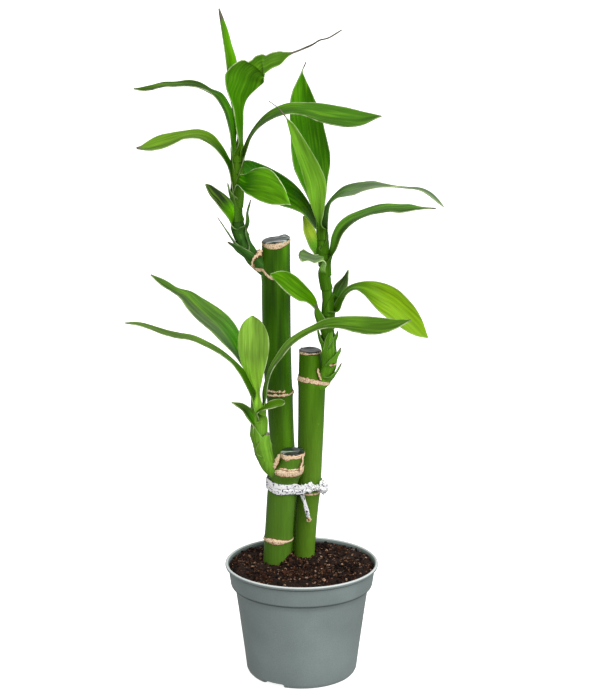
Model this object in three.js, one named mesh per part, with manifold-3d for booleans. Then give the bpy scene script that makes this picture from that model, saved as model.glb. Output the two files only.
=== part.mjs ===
// Lucky bamboo (Dracaena sanderiana): three cut canes bound with a foil tie, each with one leafy shoot,
// planted in a small nursery pot.
// Millimetres, +Z up, +X to the right and +Y to the back. The origin is the middle of the pot's underside.

import * as THREE from "three";
import { mergeVertices } from "three/addons/utils/BufferGeometryUtils.js";
import Module from "manifold-3d";

// Driving dimensions

const CLEAR = 0.3; // open space between two pieces that touch
const FIT = 0.15; // more space where a faceted piece bends round another
const POT_HEIGHT = 68;
const POT_RADIUS = 45; // over the lip
const POT_WALL = 1.2;
const POT_SIDES = 32;
const LIP_HEIGHT = 2;
const COLLAR_RADIUS = 43.2; // the band under the lip
const COLLAR_FOOT = 55; // height of the band's lower edge
const BODY_RADIUS = 38.8; // just under the band
const FOOT_RADIUS = 32.6; // where the wall turns in to the base
const RECESS_HEIGHT = 3; // the three notches in the base, which let water out
const RECESS_DEPTH = 18; // how far from the pot's middle they reach in to
const RECESS_HALF_ANGLE = 14;
const RECESS_BEARINGS = [-123, -3, 117];
const DRAIN_RADIUS = 2.5;
const DRAIN_FROM_CENTRE = 25;
const SOIL_TOP = 66.5;
const SOIL_BOTTOM = 5;
const SOIL_BUMP = 0.7;
const SOIL_SIDES = 24;
const SOIL_RINGS = [36, 27, 18, 9]; // radii that the soil's top is split at
const CANE_FOOT = 34; // the height that the canes reach down to in the soil
const CANE_SIDES = 16;
const SCAR_PROFILE = [[-2.4, 0], [-1, 1], [1, 1], [2.4, 0]]; // height and share of a ring's rise
const SCAR_REACH = 2.3;
const WAX_THICKNESS = 1.6;
const WAX_OVERHANG = 0.3;
const WAX_SIDE = 0.6; // share of the wax's thickness where its edge starts to round over
const WAX_FLAT = 0.88; // share of the cane's radius that stays flat on top
const BLADE_THICKNESS = 0.8;
const BLADE_STEP = 10; // the longest stretch of a blade between two stations
const BLADE_COLUMNS = 4;
const BLADE_CURL = 0.035; // one over the radius of the blade's trough, per millimetre
const SHEATH_HALF_ANGLE = 1.4; // how far a leaf's foot wraps its stem, in radians each way
const SHEATH_LENGTH = 7;
const SHORTEST_SHEATH = 3;
const BRACT = { columns: 2, sunk: 1.4, sheath: 4, hold: 0.8, curl: 0.12 };
const BRACT_TAPER = 0.9;
const STEM_SIDES = 10;
const STEM_STEPS = 12;
const TIE_HEIGHT = 114; // at the short cane
const TIE_SLOPE = -0.13; // the band drops towards the right
const TIE_WIDTH = 6;
const TIE_THICKNESS = 0.8;
const TIE_CREASE = 0.25;
const TIE_SWAY = 0.5; // how far the band wanders up and down
const TIE_STEPS = 44;
const KNOT_CENTRE = [12.3, 4.2, 112.2];
const KNOT_RADII = [3.5, 3.8, 4.1];
const TAIL_SIDES = 8;
const TAIL = [
  // x, y, z, radius, from its tip up
  [4.3, 3.4, 93.2, 1.3],
  [4.6, 3.2, 96, 1.9],
  [3.7, 2.8, 101.5, 1.6],
  [2.6, 2.4, 107, 1.5],
  [1.8, 2, 112.5, 1.6],
];

const COLOURS = {
  pot: 0x7f8d8a,
  soil: 0x33231b,
  wax: 0x46524a,
  tie: 0xc9ccd2,
  caneTall: 0x2f5a1c,
  caneMiddle: 0x4d8a1f,
  caneShort: 0x42751f,
  stem: 0x6aa030,
  leafDark: 0x2f7d22,
  leafMid: 0x4a9a2a,
  leafPale: 0x86b84e,
};

// Canes: each row of an axis is x, y, z, radius. A ring is the scar left by a leaf, raised from the cane:
// height, rise, and slope along x. The top's slope is along x and y.

const CANES = {
  tall: {
    colour: COLOURS.caneTall,
    axis: [
      [-9, 25, CANE_FOOT, 7],
      [-9, 25, 66, 7],
      [-10.2, 20.8, 115, 7.2],
      [-11.8, 20, 140, 7.3],
      [-12.8, 19.5, 162, 7.7],
      [-13.8, 19.4, 174, 8.1],
      [-14.6, 19.2, 200, 8.2],
      [-14.9, 19, 221, 8.4],
      [-14.8, 19, 255.6, 8.2],
    ],
    rings: [
      { height: 166, rise: 1, slope: 0.06 },
      { height: 235.5, rise: 0.8, slope: -0.1 },
    ],
    topSlope: [0.12, 0.04],
  },
  middle: {
    colour: COLOURS.caneMiddle,
    axis: [
      [1.4, 16, CANE_FOOT, 6],
      [1.4, 16, 66, 6.1],
      [2.8, 14.3, 90, 6.5],
      [4.2, 12.5, 110, 7],
      [5.3, 11.3, 145, 7.4],
      [5.8, 10.5, 172, 7.6],
      [4.8, 10, 192.3, 6.3],
    ],
    rings: [
      { height: 107, rise: 0.4, slope: 0 },
      { height: 175, rise: 0.9, slope: -0.17 },
    ],
    topSlope: [0, 0.04],
  },
  short: {
    colour: COLOURS.caneShort,
    axis: [
      [-15, 5.8, CANE_FOOT, 8],
      [-14.8, 5.5, 66, 8.1],
      [-13.7, 5, 81, 8.2],
      [-11.6, 4.4, 110, 8.5],
      [-11, 4, 117, 8.8],
      [-8.9, 1.6, 120.5, 9],
      [-8.3, 0.2, 125, 9],
      [-5.9, -1.1, 129.5, 7.3],
      [-5.2, -1.6, 134.8, 6.9],
    ],
    rings: [
      { height: 81, rise: 0.7, slope: -0.05 },
      { height: 124.5, rise: 0.6, slope: 0 },
    ],
    topSlope: [0, 0.05],
  },
};

// Shoots: each row of an axis is x, y, z, radius. A leaf has the bearing and the height where it leaves the
// stem, and its curl if not the usual one. Each of its rows is a point x, y, z midway between the margins and
// the step x, y, z from there to the right-hand margin, looking along the leaf with its upper face on top.
// Bracts are the small dry leaves at a shoot's foot, grown into the stem.

const SHOOTS = {
  tall: {
    axis: [
      [-19, 20, 238, 4.6],
      [-26, 19, 244, 4.5],
      [-31, 17, 251, 4.2],
      [-35, 16, 260, 3.8],
      [-37, 16, 272, 3.2],
      [-37, 16, 283, 3],
      [-37, 16, 295, 2.8],
      [-37, 16, 306, 2.4],
    ],
    bracts: [
      { bearing: -20, root: 262, width: 6, spine: [[-31, 10, 268], [-31, 8, 274], [-29, 7, 282]] },
      { bearing: 190, root: 250, width: 8, spine: [[-38, 15, 256], [-42, 13, 262], [-48, 12, 271]] },
      { bearing: -30, root: 249, width: 5, spine: [[-29, 13, 254], [-31, 11, 260], [-32, 10, 266]] },
      { bearing: -130, root: 243, width: 6, spine: [[-33, 12, 247], [-37, 9, 253], [-42, 6, 257.5]] },
      { bearing: 200, root: 280, width: 5, spine: [[-41, 13, 286], [-42, 11, 291]] },
    ],
    leaves: [
      {
        bearing: 100, root: 310, curl: 0.1,
        rows: [
          [-36, 20, 313.1, 1.1, 2.2, -0.3], [-37.8, 21, 336.9, 2.2, 3.6, -0.4],
          [-39.2, 22, 354.3, 3.1, 3.5, 0.2], [-40.2, 22, 361.1, 3, 3.6, -0.4],
          [-41.8, 22, 368.1, 2, 3.6, -0.1], [-43.3, 22, 375.9, 1.4, 2.8, 0],
          [-45, 21, 382.7, 0.9, 1.7, 0.1], [-46.4, 20, 388.4, 0.2, 0.4, 0],
        ],
      },
      {
        bearing: 75, root: 304,
        rows: [
          [-34.6, 17, 313, 1.2, 2.1, -0.3], [-35.1, 17, 319.2, 1.7, 2.5, -0.3],
          [-35.5, 17, 326.6, 2.5, 2, -0.3], [-35.9, 17, 333.7, 3.2, 2.2, -0.6],
          [-35.8, 16.5, 339.3, 5.4, 2.4, -0.7], [-33.9, 16, 344, 8.7, 2.1, -0.5],
          [-32.5, 15.5, 347.6, 10.8, 1.6, -0.9], [-31.9, 15, 351.1, 10.9, 0, -1.7],
          [-29, 15, 354.6, 8.1, 0, -4], [-26.5, 14.5, 355.8, 5.6, 0, -4.7],
          [-25, 14, 355.3, 4.1, 0, -4], [-24.1, 14, 356.6, 3.1, 0, -5],
          [-22.8, 13.5, 357.5, 1.9, 0, -5.5], [-21.6, 13, 358.1, 0.6, 0, -5.6],
          [-20.5, 16, 357.6, 0.4, 1.3, -5.2], [-17.1, 20, 359.2, 0.3, 0.9, -4.7],
          [-12.3, 26, 360.1, 0.2, 1.4, -3.9], [-8.7, 30, 361.5, 0.2, 1.2, -1.7],
          [-5.6, 33, 362.2, 0.1, 0.5, -0.4], [-2.5, 35, 363.1, 0, 0.4, -0.3],
          [2.5, 38, 364.9, 0.1, 0.4, -0.3], [6.3, 40, 366.4, 0.1, 0.4, -0.3],
          [10.1, 42, 368.6, 0.1, 0.4, -0.4], [15.2, 45, 369.6, 0.1, 0.4, -0.4],
          [20.3, 47, 372.3, 0.1, 0.4, -0.3], [23.1, 48, 374, 0.1, 0.3, -0.1],
        ],
      },
      {
        bearing: 172, root: 297.5,
        rows: [
          [-38.8, 14.5, 319.9, 1.5, 3.1, 1.6], [-40.2, 13, 328, 1.6, 4.3, 1.4],
          [-42.5, 11.5, 334.4, 1.4, 5.4, 1.3], [-46.4, 10, 340.5, 1.5, 6, 1],
          [-51.5, 7.5, 344, 0.7, 6.9, 0.1], [-57, 5, 347.1, 0.1, 6.8, 0.7],
          [-62.4, 3, 348.5, -0.2, 6.8, 0.7], [-70.2, 0, 348.4, -0.1, 6.4, 0.4],
          [-76.9, -3, 348.5, -0.3, 5.3, 0.8], [-83.7, -5.5, 347, -0.5, 3.2, 1.1],
          [-89.1, -7.5, 346.4, -0.4, 1.8, 0.7], [-93, -8, 346.7, 0, 0.4, 0.1],
        ],
      },
      {
        bearing: -20, root: 291,
        rows: [
          [-32.2, 14.5, 309.3, 1.2, -3.3, 0.5], [-29.5, 13, 316.8, 1.2, -3.3, 0.3],
          [-25.5, 11, 322.9, 1.2, -3.8, -0.1], [-20.5, 9.5, 327.9, 0.7, -4.7, -1.1],
          [-14.4, 8.5, 331.6, 0.6, -6.1, -1.5], [-7, 6, 334, 0.2, -6.9, -2.1],
          [0.7, 3, 334.1, 0, -7.1, -2.8], [9.1, 0, 332.8, 0, -6.6, -4.5],
          [17.4, -2, 331.4, -0.1, -6.4, -4.8], [25.7, -4, 330.4, -0.1, -6.1, -4.4],
          [33.5, -6, 330.1, -0.1, -4.7, -3.1], [39.7, -7, 331, 0.1, -2.5, -1.4],
          [44.3, -8, 331.5, 0, -0.4, -0.1],
        ],
      },
      {
        bearing: -40, root: 284.5,
        rows: [
          [-35.9, 9, 293, -0.6, -3.4, -2.3], [-32.1, 3, 292.5, -0.6, -5.6, -4.1],
          [-26.9, -4, 293.6, -0.9, -3.7, -7.5], [-21.6, -10, 293.5, -0.5, -3.1, -9.2],
          [-16.8, -15, 292.6, -0.3, -3.5, -8.8], [-12.3, -19, 291, 0.3, -3.1, -6.8],
          [-9.1, -22, 288.9, 0.4, -1.7, -4.4], [-6.3, -23, 284.5, 0.2, -0.5, -0.1],
        ],
      },
      {
        bearing: 190, root: 278,
        rows: [
          [-40, 12.5, 298.2, 0.9, 3.7, 0.6], [-42.7, 9.5, 305.5, 0.6, 3.8, 1.7],
          [-47.5, 6.5, 312.9, 1.4, 5, 0.8], [-52, 3.5, 317.7, 1.5, 5.4, 1.2],
          [-57.7, 0, 320.5, 0.6, 6, 1.5], [-65, -4, 320.7, 0.2, 6.5, 1.6],
          [-73.1, -9, 318.8, -0.4, 6.5, 2.9], [-79.8, -13.5, 317.4, -0.7, 6.4, 2.9],
          [-85.6, -17.5, 316.1, -0.6, 5, 1.5], [-89.1, -19.5, 315.5, -0.2, 2.4, 0.5],
          [-91, -20, 315.5, -0.1, 0.6, 0.4],
        ],
      },
      {
        bearing: 180, root: 264,
        rows: [
          [-38.9, 12, 270.7, 1.9, 2.6, 1.9], [-41.6, 9, 276.7, 2.5, 3, 2.1],
          [-45.7, 5, 282.8, 2.7, 3, 1.8], [-49.6, 2, 287.1, 1.8, 2.1, 1.7],
          [-52.6, 0, 290.9, 0.9, 1.5, 0.7], [-54, -0.5, 292.3, 0.3, 0.5, 0.1],
        ],
      },
    ],
  },
  middle: {
    axis: [
      [8, 8.5, 171, 3.5],
      [12.5, 6.5, 176, 4],
      [15, 5.2, 182.5, 4],
      [15.7, 4.5, 191, 3.9],
      [15.5, 4.5, 200, 3.6],
      [15, 5, 210, 3.3],
      [15, 6, 221, 3.1],
      [14, 7, 233, 3],
      [13, 8, 244, 2.9],
      [12, 8, 256, 2.6],
      [12, 8, 263, 2.3],
    ],
    bracts: [
      { bearing: 0, root: 178, width: 7, spine: [[21, 4, 182], [23, 4, 185], [24, 4, 188]] },
      { bearing: -30, root: 188, width: 7, spine: [[20, 2, 191], [23, 2, 194], [24, 1, 199]] },
      { bearing: 10, root: 195, width: 7, spine: [[19, 5, 199], [21, 5, 203], [22, 5, 207]] },
      { bearing: 180, root: 196, width: 8, spine: [[10, 4, 205], [9, 4, 213]] },
      { bearing: -120, root: 204, width: 10, spine: [[13, -2, 211], [10, -4, 217], [8, -5, 224]] },
    ],
    leaves: [
      {
        bearing: -120, root: 264,
        rows: [
          [10.5, 4, 267.5, -0.9, 2.9, -0.5], [9.6, 2.5, 274.7, -2.6, 3, -0.5],
          [8.8, -0.5, 284.3, -4.7, 2.4, -0.4], [7.6, -4, 294, -6, 2.4, -0.4],
          [4.3, -7, 304.1, -5.5, 3.4, -0.5], [0, -10, 314, -4, 3.4, -0.5],
          [-3.3, -12, 321.6, -2.9, 2.4, -0.3], [-6.3, -13, 328.1, -1.7, 1.5, -0.2],
          [-8.8, -14, 331.8, -0.4, 0.4, 0.2], [-13.6, -14, 337.2, -0.2, 0.2, 0.1],
          [-18, -14, 340.5, -0.2, 0.2, 0.1],
        ],
      },
      {
        bearing: 100, root: 261,
        rows: [
          [9.6, 11, 272.6, 2, 2.9, -0.5], [8.7, 15, 281.7, 5.2, 4, -0.7], [6.8, 18, 291, 8, 3.5, -0.6],
          [5.9, 20, 298.8, 10.3, 3.1, 0.1], [5.1, 21.5, 307.2, 11, 2.5, -0.4],
          [3.6, 22, 318.5, 10, 3.1, -0.4], [1.9, 21.5, 329.5, 8.6, 2.7, 0.2],
          [0.6, 20, 337.4, 6.9, 2.4, -0.4], [0, 18.5, 343.7, 4.7, 1.6, 0.1],
          [-0.1, 17, 349.5, 2, 1, 0.2], [0.2, 16, 353.8, 0.3, 0.4, 0], [1.3, 15.7, 356.4, 0.2, 0.2, 0],
          [2.4, 15.5, 358.9, 0.1, 0.2, 0],
        ],
      },
      {
        bearing: 10, root: 257,
        rows: [
          [12.9, 7, 268.1, 1.9, -2.9, 0.5], [13.7, 7, 275.4, 1.6, -3.1, 0.4],
          [15.5, 6.5, 280.1, 1.1, -3.8, 0.5], [19, 5.5, 284.1, 1.2, -4.7, -0.2],
          [23.3, 4, 287.1, 0.5, -5.3, -1.9], [28.7, 2.5, 288.9, 0.2, -5.7, -2.3],
          [34, 1, 290.6, -0.2, -6, -1.5], [40.1, -1, 291.9, -0.2, -5.7, -0.9],
          [46.7, -3, 291.9, -0.2, -4.9, -0.1], [52.3, -4.5, 291.7, -0.2, -4, 0.2],
          [59.5, -5.5, 291.1, -0.2, -3.9, 0], [66.1, -6.5, 290.5, -0.3, -3.4, -0.3],
          [71.5, -7.5, 288, -0.4, -2.8, -0.5], [76.1, -8.5, 284.1, -0.5, -1.3, -0.5],
          [79.4, -9, 280.8, -0.1, -0.4, 0],
        ],
      },
      {
        bearing: 162, root: 253,
        rows: [
          [11.4, 10, 261.5, -0.7, 3.4, 1.4], [8, 13.5, 267.1, 0.5, 4.5, 1.4],
          [3.3, 16, 274.7, 1.4, 5.4, 2.4], [-3.3, 20, 280.4, 1.7, 3.8, 5.6],
          [-11, 24, 284.2, 2, 1.4, 7.9], [-19.4, 27, 288.4, 2.3, 0.8, 8],
          [-27.2, 29, 293.7, 2, 2.5, 5.8], [-32.7, 30, 297.8, 1.7, 0.9, 3.3],
          [-36.7, 30, 300, 0.2, 0.3, 0.2],
        ],
      },
      {
        bearing: 136, root: 248.5, curl: 0.06,
        rows: [
          [9.1, 12, 250.3, 2, 2.2, 0.2], [6.3, 14, 256.4, 3, 2.6, 0.1], [4.3, 16, 263, 3, 3.3, 0],
          [2.6, 17.5, 267.5, 1.9, 2.3, 0], [1.2, 18.5, 270.7, 0.5, 0.6, 0],
        ],
      },
      {
        bearing: 0, root: 245,
        rows: [
          [18.1, 4, 255.4, 1.9, -3.4, 0.1], [19.7, 2.5, 262, 2.5, -3.7, 0.1],
          [22.8, 0.5, 267.9, 2.2, -4.8, -0.5], [27.5, -1.5, 272.4, 1.8, -6, -0.5],
          [32.5, -3.5, 275.3, 1.2, -6.6, -0.6], [38.1, -5, 277.6, 0.6, -7.1, -1],
          [43.4, -6.5, 279.3, 0.3, -6.4, -1.5], [48.6, -8, 280.2, 0.1, -5.5, -1.4],
          [55, -9.5, 280, -0.2, -4.5, -1.4], [60.5, -11, 280.6, -0.2, -3.6, -1.1],
          [66, -12, 280.6, -0.1, -2.4, -0.4], [74.8, -14, 280.8, 0, -0.4, -0.1],
        ],
      },
      {
        bearing: 195, root: 240, curl: 0.12,
        rows: [
          [12.4, 3, 249.5, 0.3, 3.4, 1.3], [7.8, 2, 249, 0.3, 3.9, 1.4], [3.6, 0, 250.8, 0, 4.2, 1.9],
          [-0.1, -2, 252, 0.3, 3.9, 2.7], [-0.9, -2.4, 252.6, 0.1, 3.3, 1.7],
        ],
      },
      {
        bearing: 30, root: 225, curl: 0.1,
        rows: [
          [18.6, 8, 221.3, 1.7, -2.4, -0.1], [20.3, 9.5, 227.1, 2.8, -2.8, 0.3],
          [22.1, 11, 230.8, 3.5, -2.7, 0.1], [24.4, 12, 234.7, 2.3, -2.6, 0.7],
          [26.7, 13, 240.2, 0.2, -0.4, 0.1],
        ],
      },
      {
        bearing: -10, root: 217,
        rows: [
          [19.5, 2, 219.7, 1.5, -3.5, -0.4], [21.9, 1, 225, 1.4, -3.7, 0.1],
          [24.9, 0, 229.9, 1, -4.3, 0.2], [29, -2, 233.2, 0.9, -5.2, -0.3],
          [34.4, -4, 233.5, 0, -5.9, -2.4], [40.1, -5.5, 231.4, -1, -5.5, -5.2],
          [46.2, -7, 228, -1.6, -3.5, -7.7], [51.9, -8, 224.6, -2.1, -2.3, -8.5],
          [57.5, -9, 220.3, -2.4, -2.8, -7.6], [62.5, -10, 215.8, -2.3, -1.8, -6.5],
          [66.8, -10.5, 211.3, -1.7, -1.2, -4.3], [71.5, -11, 205.9, -0.2, -0.5, -0.1],
        ],
      },
      {
        bearing: 200, root: 209.5,
        rows: [
          [7.6, 1, 222, 1.2, 3.2, 0.2], [4.6, -3, 227, 1.9, 4.8, 1], [0.2, -8, 231.4, 1.7, 5.5, 3.6],
          [-4.5, -12, 236, 1.8, 5.7, 4.1], [-9.4, -16, 240.6, 1.6, 5.1, 3.4],
          [-13.8, -18.5, 243.3, 1.1, 3.3, 2.1], [-17.7, -20, 244.4, 0.1, 0.6, 0.3],
        ],
      },
    ],
  },
  short: {
    axis: [
      [-13, 1, 121.5, 4.2],
      [-17.5, -0.5, 125.5, 4.6],
      [-20.3, -1.4, 130, 4.6],
      [-22.2, -2, 136, 4.4],
      [-24, -2, 144, 3.9],
      [-25, -2, 153, 3.3],
      [-25, -2, 161, 2.7],
    ],
    bracts: [
      { bearing: 175, root: 132, width: 6, spine: [[-27, -1, 137], [-28, -1, 140]] },
      { bearing: -40, root: 136, width: 9, spine: [[-20, -7, 143], [-18, -8, 148]] },
      { bearing: -150, root: 136, width: 7, spine: [[-28, -6, 145], [-29, -7, 151]] },
    ],
    leaves: [
      {
        bearing: -110, root: 161, curl: 0.05,
        rows: [
          [-25.1, -5.5, 170.8, -1.2, 1.9, -0.5], [-26, -6.5, 177.6, -3.1, 2.6, -0.7],
          [-26.9, -7, 184.2, -5.4, 3.3, -0.9], [-27.3, -7, 191.3, -7.5, 2.8, -0.7],
          [-27.5, -6.5, 198.2, -8.9, 2.7, -0.7], [-27.5, -5, 204.9, -8.7, 2.5, -0.6],
          [-27.8, -3, 210.3, -6.2, 2.9, -0.7], [-27.9, -1.5, 213.7, -2.8, 2.1, -0.4],
          [-28.2, -0.5, 215.9, -0.3, 0.4, -0.1],
        ],
      },
      {
        bearing: 160, root: 160.5, curl: 0.05,
        rows: [
          [-28.8, 0, 178, 0.9, 2.8, -0.4], [-31.9, 3, 185.4, 1.5, 4.2, -0.6],
          [-36, 7, 192.8, 2.6, 5.7, 0.1], [-40.9, 11, 200.8, 5, 5.8, 1.9],
          [-47.4, 15, 207.9, 5.7, 5.2, 2.7], [-54.6, 18, 213.4, 5.3, 5.5, 2.6],
          [-61.5, 21, 218.5, 4.6, 5, 1.7], [-67.4, 23, 223.6, 3.4, 4.4, 0.8],
          [-74.6, 25, 226.5, 2.4, 2.9, 0.3], [-80.7, 26, 230.1, 1.4, 1.4, 1.2],
          [-87.9, 27, 234.5, 0.1, 0.4, 0.2],
        ],
      },
      {
        bearing: 0, root: 160,
        rows: [
          [-21.3, -6, 171.5, 1.3, -2.7, 0.7], [-20.4, -7.5, 177.9, 1.2, -3, 0.8],
          [-17.6, -10, 187.4, 1.3, -3.2, 0.5], [-13.2, -12, 194.9, 1.5, -3.7, 0.3],
          [-7.5, -14, 203, 1.2, -3.7, -0.3], [-0.7, -16, 208.7, 0.8, -4.2, -0.5],
          [6.1, -17.5, 212.7, 0.5, -5.2, -0.6], [12.4, -19, 215.7, 0.4, -6, -1.2],
          [20.1, -20.5, 217.1, 0.2, -6.7, -1.8], [28.8, -21.5, 216.5, -0.1, -6.7, -2.9],
          [38.3, -22.5, 215.8, -0.2, -6.3, -3.5], [46.7, -23.2, 215.9, -0.2, -5.1, -2.9],
          [53.9, -23.7, 217.1, -0.1, -3.2, -1.6], [61.2, -24, 219.4, 0, -0.4, -0.1],
        ],
      },
      {
        bearing: -170, root: 159,
        rows: [
          [-27.3, -4, 169.5, 1.5, 3.6, -0.1], [-30.3, -6.5, 177.8, 1.9, 4.6, -1],
          [-34.5, -9, 185.8, 1.4, 4.6, -0.2], [-39.9, -11, 192.6, 1.2, 5.3, -0.7],
          [-46.9, -13.5, 198.8, 0.9, 5.8, -0.6], [-54.4, -16, 203.8, 0.6, 6.4, -0.6],
          [-61.8, -18.5, 207.8, 0.2, 6.8, -0.3], [-69.4, -20.5, 209.6, 0.3, 6.7, 0.1],
          [-77.1, -23, 212.1, 0.1, 5.7, 0.4], [-85, -25, 215.4, -0.2, 4.3, 0.3],
          [-91.8, -27, 217.8, -0.3, 2.3, 0.4], [-98.6, -28, 218.5, 0, 0.4, 0.1],
        ],
      },
      {
        bearing: -20, root: 157, curl: 0.08,
        rows: [
          [-26, -6.5, 161.1, 0.3, -2.9, 0.1], [-21.2, -9.5, 164.6, 0.5, -3.6, -0.6],
          [-16, -12, 167.4, 0.5, -3.7, -1], [-11.5, -13.5, 168.6, 0.3, -2.9, -1.2],
          [-9.6, -14.5, 169, 0, -1.2, -0.2],
        ],
      },
      {
        bearing: 175, root: 148, curl: 0.08,
        rows: [
          [-27.2, -5.5, 153.8, 0.8, 2.7, 1.3], [-30.2, -8, 160.9, 1.7, 3, 1.1],
          [-34.4, -11, 165.8, 1.1, 2.3, 0.8], [-40.1, -13, 168.5, 0.1, 0.4, 0.1],
        ],
      },
    ],
  },
};

// Solids

const wasm = await Module();
wasm.setup();

function solidOf(geometry) {
  const bare = geometry.clone();
  bare.deleteAttribute("normal");
  bare.deleteAttribute("uv");
  const merged = mergeVertices(bare, 1e-4);
  return new wasm.Manifold(
    new wasm.Mesh({
      numProp: 3,
      vertProperties: merged.attributes.position.array,
      triVerts: new Uint32Array(merged.index.array),
    }),
  );
}

function geometryOf(solid) {
  const mesh = solid.getMesh();
  const geometry = new THREE.BufferGeometry();
  geometry.setAttribute("position", new THREE.BufferAttribute(mesh.vertProperties, 3));
  geometry.setIndex(new THREE.BufferAttribute(mesh.triVerts, 1));
  geometry.computeVertexNormals();
  return geometry;
}

function geometryFrom(points, faces) {
  const geometry = new THREE.BufferGeometry().setFromPoints(points);
  geometry.setIndex(faces);
  return geometry;
}

function largest(solid) {
  return solid.decompose().sort((a, b) => b.volume() - a.volume())[0];
}

function joined(solids) {
  return solids.reduce((whole, solid) => whole.add(solid));
}

const root = new THREE.Group();

function place(name, solid, colour, roughness, metalness = 0) {
  const material = new THREE.MeshStandardMaterial({ color: colour, roughness, metalness });
  const mesh = new THREE.Mesh(geometryOf(solid), material);
  mesh.name = name;
  root.add(mesh);
}

function bearing(degrees) {
  const angle = THREE.MathUtils.degToRad(degrees);
  return new THREE.Vector3(Math.cos(angle), Math.sin(angle), 0);
}

// A closed skin through rings that each have the same number of points, going round anticlockwise as seen
// from the last ring.
function loft(rings) {
  const sides = rings[0].length;
  const points = rings.flat();
  const last = points.length - sides;
  const faces = [];
  for (let start = 0; start < last; start += sides) {
    for (let i = 0; i < sides; i += 1) {
      const next = (i + 1) % sides;
      faces.push(start + i, start + next, start + sides + next);
      faces.push(start + i, start + sides + next, start + sides + i);
    }
  }
  const middle = (ring) => ring.reduce((sum, p) => sum.add(p), new THREE.Vector3()).divideScalar(sides);
  points.push(middle(rings[0]), middle(rings.at(-1)));
  for (let i = 0; i < sides; i += 1) {
    const next = (i + 1) % sides;
    faces.push(last + sides, next, i);
    faces.push(last + sides + 1, last + i, last + next);
  }
  return solidOf(geometryFrom(points, faces));
}

function level(x, y, z, radius, sides, slopeX = 0, slopeY = 0) {
  return Array.from({ length: sides }, (_, i) => {
    const out = bearing((360 * i) / sides).multiplyScalar(radius);
    return new THREE.Vector3(x + out.x, y + out.y, z + slopeX * out.x + slopeY * out.y);
  });
}

// Pot: a thin moulded cup with a lip, a band under it, and three raised notches round the base.

function lathed(profile, sides) {
  const points = profile.map(([radius, height]) => new THREE.Vector2(radius, height));
  return solidOf(new THREE.LatheGeometry(points, sides).rotateX(Math.PI / 2));
}

function wedge(at, halfAngle, inner, top) {
  const outline = new THREE.Shape();
  const from = THREE.MathUtils.degToRad(at - halfAngle);
  const to = THREE.MathUtils.degToRad(at + halfAngle);
  outline.absarc(0, 0, POT_RADIUS, from, to, false);
  outline.absarc(0, 0, inner, to, from, true);
  const below = 2;
  const options = { depth: top + below, bevelEnabled: false, curveSegments: 5 };
  return solidOf(new THREE.ExtrudeGeometry(outline, options).translate(0, 0, -below));
}

function potSolid() {
  const lip = POT_HEIGHT - LIP_HEIGHT;
  const outer = lathed(
    [
      [0, 0], [29, 0], [31, 0.9], [FOOT_RADIUS, 3.4], [BODY_RADIUS, 50], [39.6, 52.4], [40.9, 54.4],
      [41.6, COLLAR_FOOT + 0.6], [COLLAR_RADIUS, lip - 0.6], [44.7, lip], [POT_RADIUS, lip + 0.9],
      [44.6, POT_HEIGHT - 0.2], [43.9, POT_HEIGHT], [0, POT_HEIGHT],
    ],
    POT_SIDES,
  );
  const inner = lathed(
    [
      [0, POT_WALL], [28.6, POT_WALL], [FOOT_RADIUS - POT_WALL, 4], [BODY_RADIUS - POT_WALL, 50.4],
      [COLLAR_RADIUS - POT_WALL - 1.4, COLLAR_FOOT + 1.5], [COLLAR_RADIUS - POT_WALL + 0.4, lip],
      [43.4, POT_HEIGHT], [43.5, POT_HEIGHT + 1], [0, POT_HEIGHT + 1],
    ],
    POT_SIDES,
  );
  const bites = RECESS_BEARINGS.map((at) => wedge(at, RECESS_HALF_ANGLE, RECESS_DEPTH, RECESS_HEIGHT));
  const wallAngle = THREE.MathUtils.radToDeg(POT_WALL / FOOT_RADIUS);
  const covers = RECESS_BEARINGS.map((at) =>
    wedge(at, RECESS_HALF_ANGLE + wallAngle, RECESS_DEPTH - POT_WALL, RECESS_HEIGHT + POT_WALL),
  );
  const drains = RECESS_BEARINGS.map((at) => {
    const centre = bearing(at).multiplyScalar(DRAIN_FROM_CENTRE);
    const hole = new THREE.CylinderGeometry(DRAIN_RADIUS, DRAIN_RADIUS, 4, 12).rotateX(Math.PI / 2);
    return solidOf(hole.translate(centre.x, centre.y, RECESS_HEIGHT));
  });
  const hollow = inner.subtract(joined(covers)).add(joined(drains));
  return largest(outer.subtract(joined(bites)).subtract(hollow));
}

// Soil: it fills the pot to just under the lip, with low bumps.

function bump(x, y) {
  const coarse = Math.sin(0.31 * x + 1.3) * Math.cos(0.27 * y - 0.6);
  const fine = Math.sin(0.83 * x - 0.71 * y) * Math.cos(0.52 * x + 0.94 * y + 2);
  return SOIL_BUMP * (0.7 * coarse + 0.5 * fine);
}

function soilSolid() {
  const wallGap = POT_WALL + CLEAR + FIT;
  const edge = COLLAR_RADIUS - wallGap;
  const profile = [
    [0, SOIL_BOTTOM], [FOOT_RADIUS - wallGap - 0.4, SOIL_BOTTOM], [BODY_RADIUS - wallGap, 49.6],
    [COLLAR_RADIUS - wallGap - 2.2, COLLAR_FOOT + 2.5], [edge - 0.1, SOIL_TOP - 1.2],
    [edge - 0.8, SOIL_TOP - 0.4],
    ...SOIL_RINGS.map((radius) => [radius, SOIL_TOP]),
    [0, SOIL_TOP],
  ];
  const points = profile.map(([radius, height]) => new THREE.Vector2(radius, height));
  const geometry = new THREE.LatheGeometry(points, SOIL_SIDES).rotateX(Math.PI / 2);
  const position = geometry.getAttribute("position");
  for (let i = 0; i < position.count; i += 1) {
    if (position.getZ(i) > SOIL_TOP - 0.1) {
      position.setZ(i, SOIL_TOP + bump(position.getX(i), position.getY(i)));
    }
  }
  return solidOf(geometry);
}

// Canes: tapering rods with raised scars. grow makes the same shape fatter, to cut a clearance with.

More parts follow.
